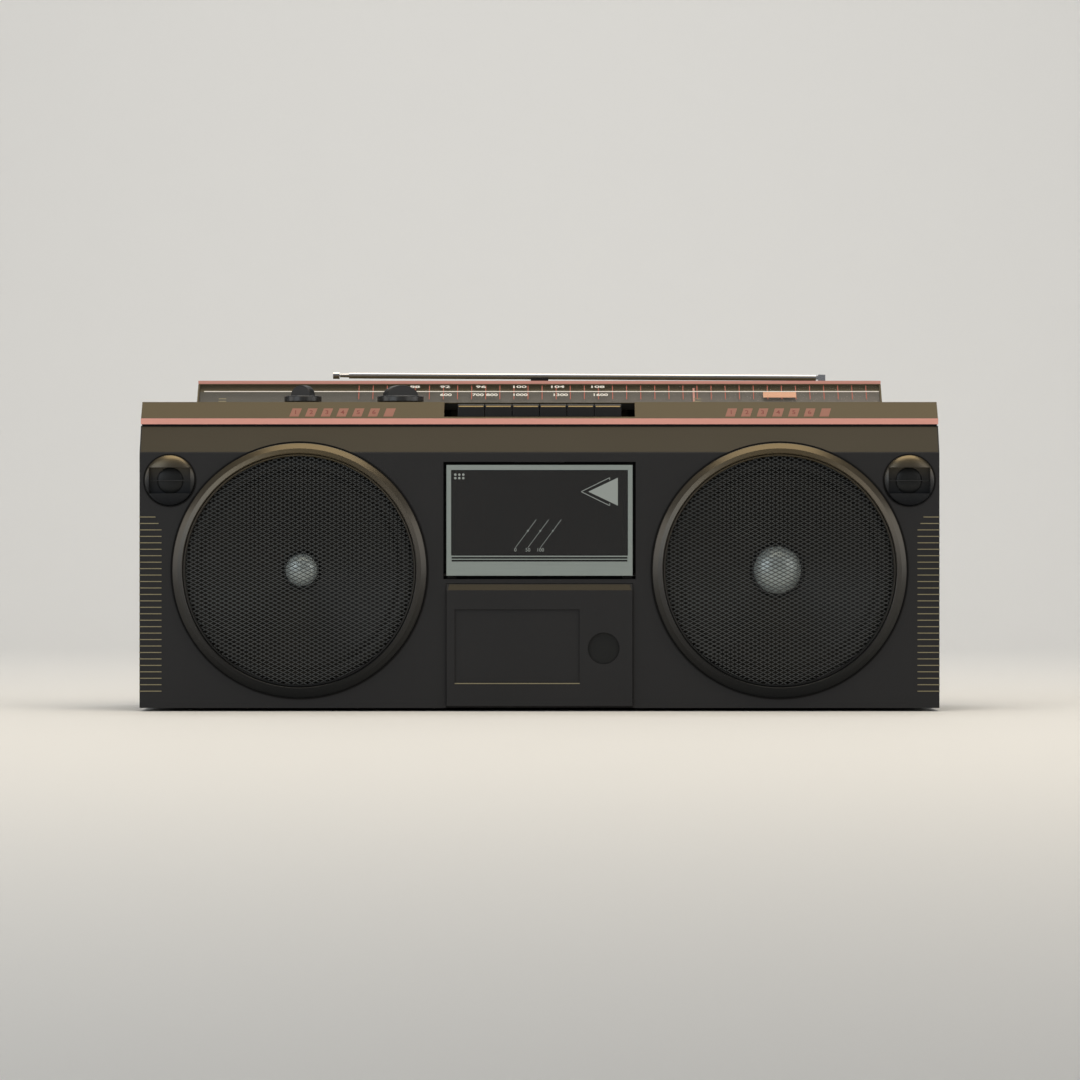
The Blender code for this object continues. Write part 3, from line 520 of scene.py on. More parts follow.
def on_band(x=0.0, up=0.0, out=0.0):
    return slanted(BAND_FOOT, BAND_SLOPE, x, up, out)


def sideways(half):
    """Stands an outline of (depth, height) points up and runs it across, from -half."""
    return Matrix(((0, 0, 1, -half), (1, 0, 0, 0), (0, 1, 0, 0), (0, 0, 0, 1)))


def figure(words, size, matrix, stretch=1.0, bold=0.0):
    """Plain numerals as a thin mesh, centred on their place."""
    text = bpy.data.curves.new("figure", "FONT")
    text.body = words
    text.size = size
    text.align_x = "CENTER"
    text.align_y = "CENTER"
    text.extrude = FILM / 2
    text.offset = bold
    text.resolution_u = 4
    item = plain(new_object("figure", text))
    item.data.transform(matrix @ Matrix.Diagonal((stretch, 1, 1, 1)))
    return item


def stroke(first, second, width, face, height):
    """A straight printed line between two points of a front face."""
    side = (second - first).normalized().orthogonal() * (width / 2)
    points = [first + side, first - side, second - side, second + side]
    return plate("stroke", points, FILM, upright(0, face, height))


class Tree:
    """A Geometry Nodes group with named inputs, which ends in real, painted geometry."""

    def __init__(self, name, **kinds):
        self.group = bpy.data.node_groups.new(name, "GeometryNodeTree")
        for label, kind in kinds.items():
            self.group.interface.new_socket(label, in_out="INPUT", socket_type="NodeSocket" + kind)
        self.group.interface.new_socket("Geometry", in_out="OUTPUT", socket_type="NodeSocketGeometry")
        self.given = self.group.nodes.new("NodeGroupInput").outputs

    def node(self, kind, inputs, output=0, **settings):
        return add_node(self.group, kind, inputs, settings).outputs[output]

    def math(self, operation, first, second=0.0):
        return self.node("ShaderNodeMath", {0: first, 1: second}, operation=operation)

    def vector(self, x, y, z):
        return self.node("ShaderNodeCombineXYZ", {0: x, 1: y, 2: z})

    def end(self, instances, turn=(0, 0, 0)):
        real = self.node("GeometryNodeRealizeInstances", {"Geometry": instances})
        placed = self.node("GeometryNodeTransform", {"Geometry": real, "Rotation": turn})
        painted = self.node("GeometryNodeSetMaterial", {"Geometry": placed, "Material": self.given["Finish"]})
        self.group.links.new(painted, self.group.nodes.new("NodeGroupOutput").inputs["Geometry"])

    def grow(self, name, **values):
        """A plain mesh grown by this group with the given inputs."""
        item = new_object(name, bpy.data.meshes.new(name))
        step = item.modifiers.new("grow", "NODES")
        step.node_group = self.group
        for socket in self.group.interface.items_tree:
            if socket.in_out == "INPUT" and socket.name in values:
                step[socket.identifier] = values[socket.name]
        return plain(item)


def row_tree():
    """Copies of one piece in a straight row."""
    tree = Tree("row_of_pieces", Count="Int", First="Vector", Step="Vector",
                Piece="Object", Finish="Material")
    given = tree.given
    ends = {"Count": given["Count"], "Start Location": given["First"], "Offset": given["Step"]}
    line = tree.node("GeometryNodeMeshLine", ends)
    piece = tree.node("GeometryNodeObjectInfo", {"Object": given["Piece"]}, "Geometry")
    tree.end(tree.node("GeometryNodeInstanceOnPoints", {"Points": line, "Instance": piece}))
    return tree


def screen_tree():
    """One layer of parallel strands, each as long as a disc is wide at its place."""
    tree = Tree("screen_layer", Radius="Float", Pitch="Float", Width="Float", Thickness="Float",
                Turn="Vector", Finish="Material")
    given = tree.given
    radius = given["Radius"]
    count = tree.math("FLOOR", tree.math("DIVIDE", tree.math("MULTIPLY", radius, 1.97), given["Pitch"]))
    first = tree.math("MULTIPLY", tree.math("MULTIPLY", count, given["Pitch"]), -0.5)
    ends = {"Count": tree.math("ADD", count, 1.0), "Start Location": tree.vector(0.0, first, 0.0),
            "Offset": tree.vector(0.0, given["Pitch"], 0.0)}
    line = tree.node("GeometryNodeMeshLine", ends)
    place = tree.node("GeometryNodeInputPosition", {})
    off = tree.node("ShaderNodeSeparateXYZ", {0: place}, 1)
    square = tree.math("SUBTRACT", tree.math("POWER", radius, 2.0), tree.math("POWER", off, 2.0))
    chord = tree.math("MULTIPLY", tree.math("SQRT", tree.math("MAXIMUM", square, 0.0)), 2.0)
    cube = tree.node("GeometryNodeMeshCube", {})
    scale = tree.vector(chord, given["Width"], given["Thickness"])
    copies = {"Points": line, "Instance": cube, "Scale": scale}
    tree.end(tree.node("GeometryNodeInstanceOnPoints", copies), given["Turn"])
    return tree


def row(tree, name, piece, count, first, step, paint):
    """A row of copies of a piece, which is used up."""
    item = tree.grow(name, Count=count, First=first, Step=step, Piece=piece, Finish=PAINT[paint])
    bpy.data.objects.remove(piece)
    return item


FRAME_FINISHES = {
    "charcoal": ("front_cabinet", "rear_cabinet", "battery_door", "carry_handle"),
    # The top cover's brown: painted reflection of the warm top light.
    "bronze": ("top_cover",),
    "salmon": ("front_trim", "dial_trim", "dial_pointer"),
    "silver": ("cassette_door",),
    "smoked": ("cassette_window",),
    "black": ("cassette_holder", "deck_plate", "supply_spindle", "takeup_spindle", *KEY_NODES),
    "chrome": ("antenna_post", "antenna_tube", "antenna_middle", "antenna_rod"),
    "steel": ("key_shaft", "head_block", "capstan_flywheel", "woofer_frame_left", "woofer_frame_right"),
    "board": ("circuit_board",),
    "rubber": ("foot_left", "foot_right"),
}
ROUNDED = ("front_cabinet", "rear_cabinet", "battery_door", "carry_handle", "top_cover", "cassette_door",
           "cassette_holder", "foot_left", "foot_right", *KEY_NODES)


class BOOMBOX_OT_finishes(bpy.types.Operator):
    """Make the finishes and give them to every piece kept from the frame"""
    bl_idname = "boombox.finishes"
    bl_label = "Finish the frame"

    def execute(self, context):
        make_finishes()
        for paint, names in FRAME_FINISHES.items():
            for name in names:
                node = NODES[name]
                node.data.materials.clear()
                node.data.materials.append(PAINT[paint])
                if name in ROUNDED:
                    self.soften(node)
        return {"FINISHED"}

    def soften(self, node):
        """Merge a frame node's loose triangles and round its edges."""
        node.modifiers.new("weld", "WELD").merge_threshold = 1e-5
        flat = node.modifiers.new("flat", "DECIMATE")
        flat.decimate_type = "DISSOLVE"
        flat.angle_limit = math.radians(1)
        width = sizes().grip_edge if node == NODES["carry_handle"] else sizes().edge
        round_edges(node, width, 3)


class BOOMBOX_OT_case(bpy.types.Operator):
    """Add the end ribs, the shoulder strip, the painted shade behind the keys and the rear details"""
    bl_idname = "boombox.case"
    bl_label = "Detail the case"

    def execute(self, context):
        tree = row_tree()
        self.ribs(tree)
        self.shoulder()
        self.key_well()
        self.rear(tree)
        return {"FINISHED"}

    def ribs(self, tree):
        """Ribs on the front and round both ends, the two highest ones shorter on the front, pale as a painted
        highlight.
        """
        tall = 0.0005
        proud = 0.00025
        wrap = 0.046
        rows = []
        pitch = sizes().rib_pitch
        top = sizes().rib_top
        for side in SIDES.values():
            spans = ((0, 1, 0.0096), (1, 1, 0.0114), (2, sizes().ribs - 2, 0.0132))
            for start, count, reach in spans:
                piece = block("rib", (-reach / 2, -proud, -tall / 2), (reach / 2, proud, tall / 2))
                first = (side * (HALF_WIDTH - reach / 2), FRONT, top - start * pitch)
                rows.append(row(tree, "ribs", piece, count, first, (0, 0, -pitch), "rib"))
            piece = block("rib", (-proud, -wrap / 2, -tall / 2), (proud, wrap / 2, tall / 2))
            first = (side * HALF_WIDTH, FRONT + wrap / 2, top)
            rows.append(row(tree, "ribs", piece, sizes().ribs, first, (0, 0, -pitch), "rib"))
        settle(merged("end_ribs", rows), "case", "rib")

    def shoulder(self):
        """The slanted strip above the speakers, brown as painted reflection, and a dark strip by the stripe:
        painted shadow.
        """
        edge = 0.0007
        skin = 0.00012
        tilt = math.atan2(SHOULDER_RISE, SHOULDER_RUN)
        place = Matrix.Translation((0, FRONT, SHOULDER_TOP - SHOULDER_RISE)) @ Matrix.Rotation(tilt, 4, "X")
        half = HALF_WIDTH - edge
        length = math.hypot(SHOULDER_RUN, SHOULDER_RISE)
        corners = [(-half, edge), (half, edge), (half, length - edge), (-half, length - edge)]
        strip = plate("shoulder_strip", corners, skin, place)
        centre, radius, _, _ = round_front("woofer_ring_right")
        clearance = 0.0008
        reach = 0.02
        holes = []
        for side in SIDES.values():
            place = upright(side * centre[0], FRONT + reach, centre[2])
            holes.append(disc("hole", radius + clearance, 2 * reach, place, 160))
        settle(carve(strip, *holes), "case", "shoulder")
        # A dark strip in the gap between shoulder and stripe: painted shadow.
        shadow_line = block("trim_seam", (-half, FRONT + SHOULDER_RUN - 0.0006, SHOULDER_TOP - 0.0005),
                     (half, FRONT + SHOULDER_RUN + 0.0002, SHOULDER_TOP + 0.0010))
        settle(shadow_line, "case", "rubber")

    def key_well(self):
        """A near-black sheet behind the keys as painted shade, and a painted highlight on each key's top
        edge.
        """
        half = 0.0574
        back = FRONT + 0.0342
        floor = 0.1818
        shade_sheet = block("key_well_lining", (-half, back - 0.0002, floor), (half, back, DECK - 0.0004))
        settle(shade_sheet, "case", "pit")
        line = 0.0006
        for name in KEYS:
            low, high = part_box(name + "_key")
            top = high[2] - 0.0011
            edge = block(name + "_key_edge", (low[0] + line, low[1] - FILM, top - line),
                         (high[0] - line, low[1] + line / 2, top))
            settle(edge, name + "_button", "gold")

    def screw(self):
        """The head of a cross-slotted screw, facing the rear."""
        bar = 0.0017
        thin = 0.0004
        shallow = 0.0001
        profile = [(0, 0.0006), (0.0022, 0.0006), (0.0027, 0.0001), (0.0027, -0.001), (0, -0.001)]
        head = turned("screw", profile, (0, 0, 0), 24)
        carve(head, block("slot", (-bar, -BITE, -thin), (bar, -shallow, thin)),
              block("slot", (-thin, -BITE, -bar), (thin, -shallow, bar)))
        head.data.transform(Matrix.Rotation(math.pi, 4, "Z"))
        return head

    def rear(self, tree):
        """Four screws in the rear, and the ridges of the battery door."""
        x = HALF_WIDTH - 0.014
        heights = (0.014, 0.156)
        heads = []
        for z in heights:
            heads.append(row(tree, "screws", self.screw(), 2, (-x, REAR, z), (2 * x, 0, 0), "steel"))
        settle(merged("rear_screws", heads), "case", "steel")
        _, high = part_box("battery_door")
        half = 0.014
        tall = 0.0009
        pitch = 0.0022
        count = 5
        piece = block("ridge", (-half, -tall, -tall / 2), (half, tall / 2, tall / 2))
        plain(round_edges(piece, 0.0003))
        first = (0, high[1], high[2] - 0.005)
        ridges = row(tree, "battery_door_ridges", piece, count, first, (0, 0, -pitch), "charcoal")
        settle(ridges, "battery_lid", "charcoal")


class BOOMBOX_OT_speakers(bpy.types.Operator):
    """Turn the speaker rings, cones, caps and tweeters, and grow the mesh grilles"""
    bl_idname = "boombox.speakers"
    bl_label = "Make the speakers"

    def execute(self, context):
        screen = screen_tree()
        for label in SIDES:
            self.woofer(label, screen)
            self.tweeter(label)
        return {"FINISHED"}

    def gasket(self, name, centre, radius, width, front, back):
        """A black rubber ring close round a speaker, between a front and a back height: painted shadow of the
        gap.
        """
        inner = radius + 0.00005
        outer = radius + width
        profile = [(inner, front), (outer, front), (outer, back), (inner, back)]
        settle(turned(name, profile, centre, 160, True), "case", "rubber", smooth=40)

    def woofer(self, label, screen):
        centre, radius, proud, back = round_front("woofer_ring_" + label)
        inner = radius - 0.0078
        self.ring(label, centre, radius, inner, proud, back)
        self.gasket("speaker_gasket_" + label, centre, radius, 0.0011, 0.0007, -0.0075)
        self.grille(label, screen, centre, inner + 0.0008)
        self.cone(label, centre, inner + 0.0007)
        self.dust_cap(label, centre)

    def ring(self, label, centre, radius, inner, proud, back):
        """The moulded ring, with a groove inside its crest and a seat for the mesh."""
        seat = inner + 0.001
        profile = [(radius, 0.0013), (radius, back), (seat, back), (seat, 0.0004), (inner, 0.0006),
                   (inner, 0.0030), (inner + 0.0003, 0.0034), (inner + 0.0010, 0.0034),
                   (inner + 0.0013, 0.0030), (inner + 0.0017, 0.0046), (inner + 0.0021, proud),
                   (inner + 0.0046, 0.0042), (radius - 0.0003, 0.0017)]
        item = turned("speaker_ring_" + label, profile, centre, 192, True)
        # The ring's finish carries painted shade low down and a painted highlight at the top.
        settle(item, "case", "ring", ["woofer_ring_" + label], 12)

    def cone(self, label, centre, rim):
        """The surround's roll and the cone, front face first, then the back."""
        profile = [(rim, -0.0030), (rim - 0.0015, -0.0022), (rim - 0.0050, -0.0014), (rim - 0.0085, -0.0028),
                   (rim - 0.0100, -0.0052), (rim - 0.0120, -0.0060), (0.040, -0.0150), (0.020, -0.0240),
                   (0.008, -0.0300), (0.008, -0.0312), (0.040, -0.0162), (rim - 0.0100, -0.0075),
                   (rim, -0.0045)]
        item = turned("speaker_cone_" + label, profile, centre, 128, True)
        settle(item, "case", "cone", ["woofer_cone_" + label], 40)

    def dust_cap(self, label, centre):
        """The bright cap in the middle of the cone, in a black collar: painted shade round the cap."""
        _, radius, _, base = round_front("woofer_cap_" + label)
        lit = 0.89 * radius
        cap = turned("dust_cap_" + label, dome(lit, 0.5 * radius, base) + [(0, base)], centre, 64)
        settle(cap, "case", "cap", ["woofer_cap_" + label], 40)
        inner = lit + 0.0001
        profile = [(inner, base), (inner, base + 0.0016), (0.95 * radius, base + 0.0022),
                   (radius, base + 0.0012), (radius, base)]
        collar = turned("cap_collar_" + label, profile, centre, 64, True)
        settle(collar, "case", "black", smooth=40)

    def grille(self, label, screen, centre, radius):
        """Two crossed layers of strands, which leave diamond openings."""
        wide = sizes().diamond_width
        tall = sizes().diamond_height
        tilt = math.atan2(tall, wide)
        thick = 0.0004
        pitch = tall * math.cos(tilt)
        layers = []
        for turn in (-tilt, tilt):
            layers.append(screen.grow("strands", Radius=radius, Pitch=pitch, Width=sizes().strand,
                                      Thickness=thick, Turn=(0, 0, turn), Finish=PAINT["mesh"]))
        item = merged("speaker_mesh_" + label, layers)
        low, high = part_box("woofer_grille_" + label)
        item.data.transform(upright(centre[0], (low[1] + high[1]) / 2, centre[2]))
        settle(item, "case", "mesh", ["woofer_grille_" + label])

    def tweeter(self, label):
        """A domed bezel with a square slot, and a small dome and a bar inside it."""
        centre, radius, _, back = round_front("tweeter_bezel_" + label)
        x, _, z = centre
        profile = dome(radius, 0.004, steps=24) + [(radius, back), (0, back)]
        bezel = turned("tweeter_" + label, profile, centre, 128)
        wide = 0.0125
        tall = 0.0078
        floor = FRONT + 0.004
        carve(bezel, block("slot", (x - wide, FRONT - 0.01, z - tall), (x + wide, floor, z + tall)))
        round_edges(bezel, 0.00025, 2, 50)
        # The bezel's finish carries painted shade low down and a painted highlight at the top.
        settle(bezel, "case", "tweeter", ["tweeter_bezel_" + label], 30)
        self.gasket("tweeter_gasket_" + label, centre, radius, 0.0006, 0.0004, -0.003)
        place = (x, floor - 0.0003, z)
        cap = turned("tweeter_dome_" + label, dome(0.0079, 0.0014) + [(0, 0)], place, 64)
        settle(cap, "case", "tweeter_disc", ["tweeter_dome_" + label], 40)
        thin = 0.00022
        bar = block("tweeter_bar_" + label, (x - wide, floor - 0.0030, z - thin),
                    (x + wide, floor - 0.0026, z + thin))
        settle(bar, "case", "gloss")


class BOOMBOX_OT_dial(bpy.types.Operator):
    """Make the dial housing, its window, its scale and the print on it"""
    bl_idname = "boombox.dial"
    bl_label = "Make the dial"

    def execute(self, context):
        half = HOUSING[1][0]
        inside = half - 0.0010
        low = 0.0003
        high = DIAL_LENGTH - 0.0039
        self.housing(half, inside, low, high)
        scale = block("dial_plate", (-inside, low, DIAL_FLOOR - 0.0004),
                      (inside, high + FLOOR_LEAD, DIAL_FLOOR), on_dial())
        settle(scale, "case", "dial", ["dial_scale"])
        pane = block("dial_pane", (-inside, low, -0.0005), (inside, high, 0.0), on_dial())
        settle(pane, "case", "window", ["dial_window"])
        self.print_lines(high + DIAL_LEAD)
        self.print_figures()
        return {"FINISHED"}

    def housing(self, half, inside, low, high):
        """The wedge that holds the dial, with a pocket under the window."""
        top = 0.2005
        rear = HOUSING[1][1]
        foot = (FRONT + DIAL_FOOT[0], DIAL_FOOT[1])
        ridge = foot[0] + DIAL_RUN
        ledge = 0.0022
        side = [foot, (rear, foot[1]), (rear - 0.003, top), (ridge + 0.0003, top),
                (ridge + 0.0003, top - ledge), (ridge - 0.0026, top - ledge)]
        shell = plate("dial_case", side, 2 * half, sideways(half))
        floor = DIAL_FLOOR - 0.0005
        pocket = [(low, BITE), (high, BITE), (high, 0), (high + FLOOR_LEAD, DIAL_FLOOR),
                  (high + FLOOR_LEAD, floor), (low, floor)]
        carve(shell, plate("pocket", pocket, 2 * inside, on_dial() @ sideways(inside)))
        round_edges(shell, 0.0003)
        # The housing's brown: painted reflection of the warm top light.
        settle(shell, "case", "bronze", ["dial_housing"])
        self.antenna_rest(top)

    def antenna_rest(self, top):
        """The small clip on the housing that the folded antenna lies in."""
        half = 0.0054
        front = FRONT + 0.0766
        sunk = top - 0.001
        post = block("post", (-half, front, sunk), (half, front + 0.0012, top + 0.0015))
        pad = block("pad", (-half, front, sunk), (half, front + 0.0072, top + 0.0002))
        settle(merged("antenna_rest", [post, pad]), "case", "black")

    def print_lines(self, top):
        """The upright lines of the scale, the lit bar at its right, and two pairs of dashes."""
        face = on_dial(out=DIAL_PRINT)
        thin = 0.00025
        low = 0.0036 + DIAL_LEAD
        first = (-0.1106, 0, 0)
        step = (sizes().dial_line_step, 0, 0)
        count = 37
        piece = block("line", (-thin, low, 0), (thin, top - 0.0002, FILM))
        lines = row(row_tree(), "dial_lines", piece, count, first, step, "line")
        lines.data.transform(face)
        settle(lines, "case", "line")
        lamp = block("dial_lamp", (0.1369, 0.0052 + DIAL_LEAD, 0),
                     (0.1571, 0.0103 + DIAL_LEAD, FILM * 2), face)
        settle(lamp, "case", "peach")
        half = 0.0023
        thick = 0.0004
        dashes = []
        for x in (-0.1939, 0.0965):
            for up in (0.0016 + DIAL_LEAD, 0.0040 + DIAL_LEAD):
                dashes.append(block("dash", (x - half, up - thick, 0), (x + half, up + thick, FILM), face))
        settle(merged("dial_dashes", dashes), "case", "rib")

    def print_figures(self):
        """The white rule across the dial, with a row of figures above it and one below."""
        thin = 0.00035
        middle = DIAL_RULE + DIAL_LEAD
        ends = ((-0.2055, middle - thin, 0), (0.2080, middle + thin, FILM * 2))
        items = [block("rule", *ends, on_dial(out=DIAL_PRINT))]
        upper = ((88, -0.0764), (92, -0.0579), (96, -0.0359), (100, -0.0126), (104, 0.0107), (108, 0.0353))
        lower = ((600, -0.0573), (700, -0.0377), (800, -0.0291), (1000, -0.0120), (1300, 0.0126),
                 (1600, 0.0371))
        for values, up, stretch in ((upper, 0.0153, 2.0), (lower, 0.0076, 1.55)):
            for value, x in values:
                place = on_dial(x, up + DIAL_LEAD, DIAL_PRINT + FILM * 2)
                items.append(figure(str(value), 0.0031, place, stretch, 0.00008))
        settle(merged("dial_figures", items), "case", "white")


class BOOMBOX_OT_controls(bpy.types.Operator):
    """Make the knobs and the numbered marks of the band"""
    bl_idname = "boombox.controls"
    bl_label = "Make the controls"

    def execute(self, context):
        self.knob("volume_knob", "volume", 0.0166, -42)
        self.knob("tuning_knob", "tuning", 0.0232, 35)
        self.marks()
        return {"FINISHED"}

    def knob(self, name, body, fin, yaw):
        """A round base with an arched fin across it, turned by some degrees."""
        low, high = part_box(name)
        radius = (high[0] - low[0]) / 2
        centre = Vector(((low[0] + high[0]) / 2, (low[1] + high[1]) / 2, DECK + 0.0003))
        base_height = 0.0038
        base = disc(name + "_base", radius, base_height, Matrix.Translation(centre), 128)
        round_edges(base, 0.0006, 3)
        settle(base, body, "gloss", [name], 30)
        steps = 32
        turns = [math.pi * index / steps for index in range(steps + 1)]
        arch = [(fin / 2 * math.cos(turn), 0.0065 * math.sin(turn)) for turn in turns]
        points = [(fin / 2, -0.001)] + arch + [(-fin / 2, -0.001)]
        thick = 0.005
        seat = Matrix.Translation(centre + Vector((0, 0, base_height)))
        place = seat @ Matrix.Rotation(math.radians(yaw), 4, "Z") @ upright(0, thick / 2, 0)
        grip = plate(name + "_grip", points, thick, place)
        round_edges(grip, 0.0007, 3)
        settle(grip, body, "black", smooth=30)

    def marks(self):
        """Two rows of slanted marks, the last of each without a figure."""
        pitch = 0.00945
        wide = 0.0056
        skew = 0.0018
        low = 0.0017
        high = 0.0089
        plates = []
        numbers = []
        for first in (-0.1508, 0.1119):
            for index in range(7):
                x = first + index * pitch
                corners = [(x, low), (x + wide, low), (x + wide + skew, high), (x + skew, high)]
                plates.append(plate("mark", corners, FILM, on_band()))
                if index < 6:
                    place = on_band(x + (wide + skew) / 2, (low + high) / 2, FILM)
                    numbers.append(figure(str(index + 1), 0.0048, place, bold=0.00006))
        settle(merged("preset_marks", plates), "case", "mark")
        settle(merged("preset_figures", numbers), "case", "digit")


class BOOMBOX_OT_doors(bpy.types.Operator):
    """Print the cassette door and shape the lower flap"""
    bl_idname = "boombox.doors"
    bl_label = "Make the doors"

    def execute(self, context):
        low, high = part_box("cassette_window")
        items = self.dots(low, high)
        items += self.arrows(low[1], high[2] - 0.0127)
        items += self.gauge(low[1], low[2] + 0.0031)
        settle(merged("window_print", items), "door", "ink")
        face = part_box("cassette_door")[0][1]
        rules = []
        tall = 0.0005
        for z in (0.0921, 0.0904):
            rules.append(block("rule", (low[0], face - FILM, z - tall), (high[0], face + FILM, z + tall)))
        settle(merged("door_rules", rules), "door", "rubber")
        self.flap()
        return {"FINISHED"}

    def dots(self, low, high):
        """Two lines of three dots in the window's upper left corner."""
        items = []
        for column in range(3):
            for line in range(2):
                x = low[0] + 0.0022 + column * 0.0024
                z = high[2] - 0.0025 - line * 0.0021
                items.append(disc("dot", 0.00075, FILM, upright(x, low[1], z), 16))
        return items

    def arrows(self, face, height):
        """A solid arrow inside the outline of another one."""
        line = 0.0004
        rise = 0.0084
        tick = 0.0014
        tip = 0.0293
        tail = 0.0470
        solid = [(tip, 0), (tail, -rise), (tail, rise)]
        items = [plate("arrow", solid, FILM, upright(0, face, height))]
        point = Vector((0.0250, 0))
        for side in (-1, 1):
            corner = Vector((0.0421, side * rise))
            items.append(stroke(point, corner, line, face, height))
            items.append(stroke(corner, corner - Vector((0, side * tick)), line, face, height))
        return items

    def gauge(self, face, foot):
        """Three slanted lines with a spot on each and a number at its foot."""
        items = []
        rise = Vector((0.0125, 0.0168))
        for index in range(3):
            start = Vector((-0.0145 + index * 0.0075, 0.0014))
            items.append(stroke(start, start + rise, 0.00026, face, foot))
            spot = start + rise * 0.6
            items.append(disc("spot", 0.00058, FILM, upright(spot.x, face, foot + spot.y), 12))
            items.append(figure(str(index * 50), 0.0030, upright(start.x, face, foot)))
        return items

    def flap(self):
        """The flap with a label recess, a finger bowl and a slanted upper edge."""
        low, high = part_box("preset_door")
        front = low[1]
        left = -0.0509
        right = 0.0241
        bottom = 0.0165
        top = 0.0612
        deep = 0.0011
        bowl = 0.0095
        bowl_depth = 0.0021
        bowl_place = upright(0.0385, front + bowl_depth, 0.0378)
        flap = node_copy("lower_flap", "preset_door")
        recess = block("recess", (left, front - BITE, bottom), (right, front + deep, top))
        well = disc("well", bowl, BITE + bowl_depth, bowl_place, 96)
        carve(flap, recess, well)
        round_edges(flap, 0.00025, 2, 30)
        even_normals(flap)
        settle(flap, "flap", "charcoal", ["preset_door"], 30)
        # A darker disc on the bowl's floor: painted shade in the recess.
        floor = disc("bowl_floor", bowl - FILM, FILM, bowl_place, 96)
        settle(floor, "flap", "tweeter_disc")
        # A pale strip on the recess's lower edge: painted highlight where light from above would catch it.
        line = block("label_line", (left, front + FILM, bottom), (right, front + deep, bottom + 0.0005))
        settle(line, "flap", "rib")
        self.flap_edge(front, high[2])

    def flap_edge(self, front, top):
        half = 0.0558
        inset = 0.0008
        rise = 0.004
        run = 0.002
        gap = 0.0003
        skin = 0.00012
        tilt = math.atan2(rise, run)
        length = math.hypot(rise, run) - gap
        wide = half - inset
        narrow = half - 2 * inset
        corners = [(-wide, gap), (wide, gap), (narrow, length), (-narrow, length)]
        place = Matrix.Translation((0, front, top - rise)) @ Matrix.Rotation(tilt, 4, "X")
        # The flap edge's brown: painted reflection of the warm top light.
        settle(plate("flap_edge", corners, skin, place), "flap", "shoulder")


# What the lamps point at, then each lamp's name, place, aim, size, power and tint
PLAYER = Vector((0, 0, 0.1))
BACKDROP = Vector((0, 2.4, 0.6))
LAMPS = (
    ("top_light", (0.1, -0.5, 1.68), PLAYER, 1.5, 20, (1.0, 0.88, 0.70)),
    ("left_light", (-1.5, -2.0, 0.9), PLAYER, 1.6, 17, (0.88, 0.94, 1.0)),
    ("right_light", (1.7, -1.7, 0.9), PLAYER, 1.4, 10, (1.0, 0.97, 0.93)),
    ("left_edge_light", (-2.2, -0.5, 0.6), PLAYER, 1.2, 8, (1.0, 0.98, 0.95)),
    ("right_edge_light", (2.2, -0.5, 0.6), PLAYER, 1.2, 8, (1.0, 0.98, 0.95)),
    ("back_light", (0.0, 1.2, 2.4), BACKDROP, 2.0, 26, (1.0, 1.0, 1.0)),
)


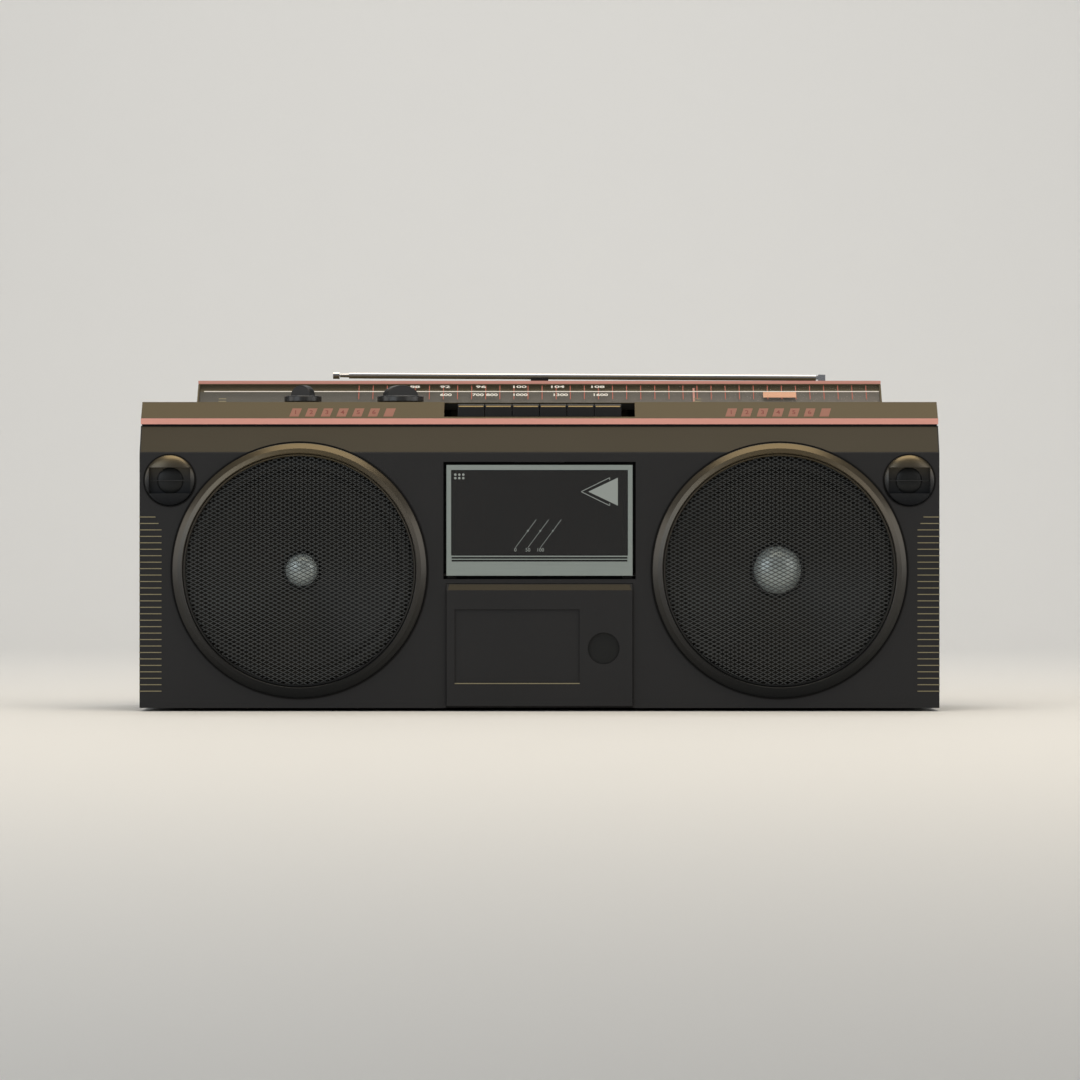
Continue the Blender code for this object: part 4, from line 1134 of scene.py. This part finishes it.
class BOOMBOX_OT_stage(bpy.types.Operator):
    """Set up the floor, the lights, the world and the camera"""
    bl_idname = "boombox.stage"
    bl_label = "Set the stage"

    def execute(self, context):
        scene = context.scene
        scene.view_settings.view_transform = "Standard"
        self.cove()
        for lamp in LAMPS:
            self.lamp(scene, *lamp)
        self.world(scene)
        self.camera(scene)
        return {"FINISHED"}

    def lamp(self, scene, name, place, aim, size, power, tint):
        light = bpy.data.lights.new(name, "AREA")
        light.size = size
        light.energy = power
        light.color = tint
        item = bpy.data.objects.new(name, light)
        item.location = place
        item.rotation_euler = (aim - Vector(place)).to_track_quat("-Z", "Y").to_euler()
        scene.collection.objects.link(item)

    def world(self, scene):
        world = bpy.data.worlds.new("studio")
        world.use_nodes = True
        sky = world.node_tree.nodes["Background"]
        sky.inputs["Color"].default_value = (0.8, 0.82, 0.85, 1)
        sky.inputs["Strength"].default_value = 0.28
        scene.world = world

    def camera(self, scene):
        """A level camera before the middle of the front."""
        camera = bpy.data.cameras.new("camera")
        distance = sizes().camera_distance
        camera.lens = camera.sensor_width * distance / sizes().picture_width
        eye = bpy.data.objects.new("camera", camera)
        eye.location = (0.0003, FRONT - distance, 0.1028)
        eye.rotation_euler = (math.pi / 2, 0, 0)
        scene.collection.objects.link(eye)
        scene.camera = eye

    def cove(self):
        """A pale floor that sweeps up into a backdrop, which is clear when seen from behind."""
        half = 5.0
        reach = 7.0
        bend = 1.2
        start = 1.6
        height = 4.0
        steps = 24
        turns = [math.pi / 2 * index / steps for index in range(steps + 1)]
        sweep = [(start + bend * math.sin(turn), bend - bend * math.cos(turn)) for turn in turns]
        front = [(-reach, 0.0)] + sweep + [(start + bend, height)]
        back = [(start, 0.0), (reach, 0.0)]
        form = bmesh.new()
        for line in (front, back):
            rows = [[form.verts.new((x, y, z)) for y, z in line] for x in (-half, half)]
            for index in range(len(line) - 1):
                form.faces.new((rows[0][index], rows[1][index], rows[1][index + 1], rows[0][index + 1]))
        item = as_object("floor", form)
        item.data.shade_smooth()
        paint = finish("stage_pale", colour(222, 221, 218), 0.75, vary=0.015, grain=300.0)
        whole, _ = coordinates(paint)
        behind = whole.node("ShaderNodeNewGeometry", {}, "Backfacing")
        (1.0 - behind).feed(shader_of(paint), "Alpha")
        item.data.materials.append(paint)


STEPS = (BOOMBOX_OT_finishes, BOOMBOX_OT_case, BOOMBOX_OT_speakers, BOOMBOX_OT_dial, BOOMBOX_OT_controls,
         BOOMBOX_OT_doors, BOOMBOX_OT_stage)


class BOOMBOX_PT_sidebar(bpy.types.Panel):
    """Every size, colour and step, in the sidebar"""
    bl_label = "Boombox"
    bl_space_type = "VIEW_3D"
    bl_region_type = "UI"
    bl_category = "Boombox"

    def draw(self, context):
        for group in (context.scene.boombox_sizes, context.scene.boombox_colours):
            for name in type(group).__annotations__:
                self.layout.prop(group, name)
        for step in STEPS:
            self.layout.operator(step.bl_idname)


CLASSES = (BoomboxSizes, BoomboxColours, *STEPS, BOOMBOX_PT_sidebar)


def register():
    for item in CLASSES:
        bpy.utils.register_class(item)
    bpy.types.Scene.boombox_sizes = bpy.props.PointerProperty(type=BoomboxSizes)
    bpy.types.Scene.boombox_colours = bpy.props.PointerProperty(type=BoomboxColours)


def unregister():
    del bpy.types.Scene.boombox_sizes
    del bpy.types.Scene.boombox_colours
    for item in reversed(CLASSES):
        bpy.utils.unregister_class(item)


def main():
    register()
    bpy.ops.boombox.finishes()
    bpy.ops.boombox.case()
    bpy.ops.boombox.speakers()
    bpy.ops.boombox.dial()
    bpy.ops.boombox.controls()
    bpy.ops.boombox.doors()
    bpy.ops.boombox.stage()


if __name__ == "__main__":
    main()
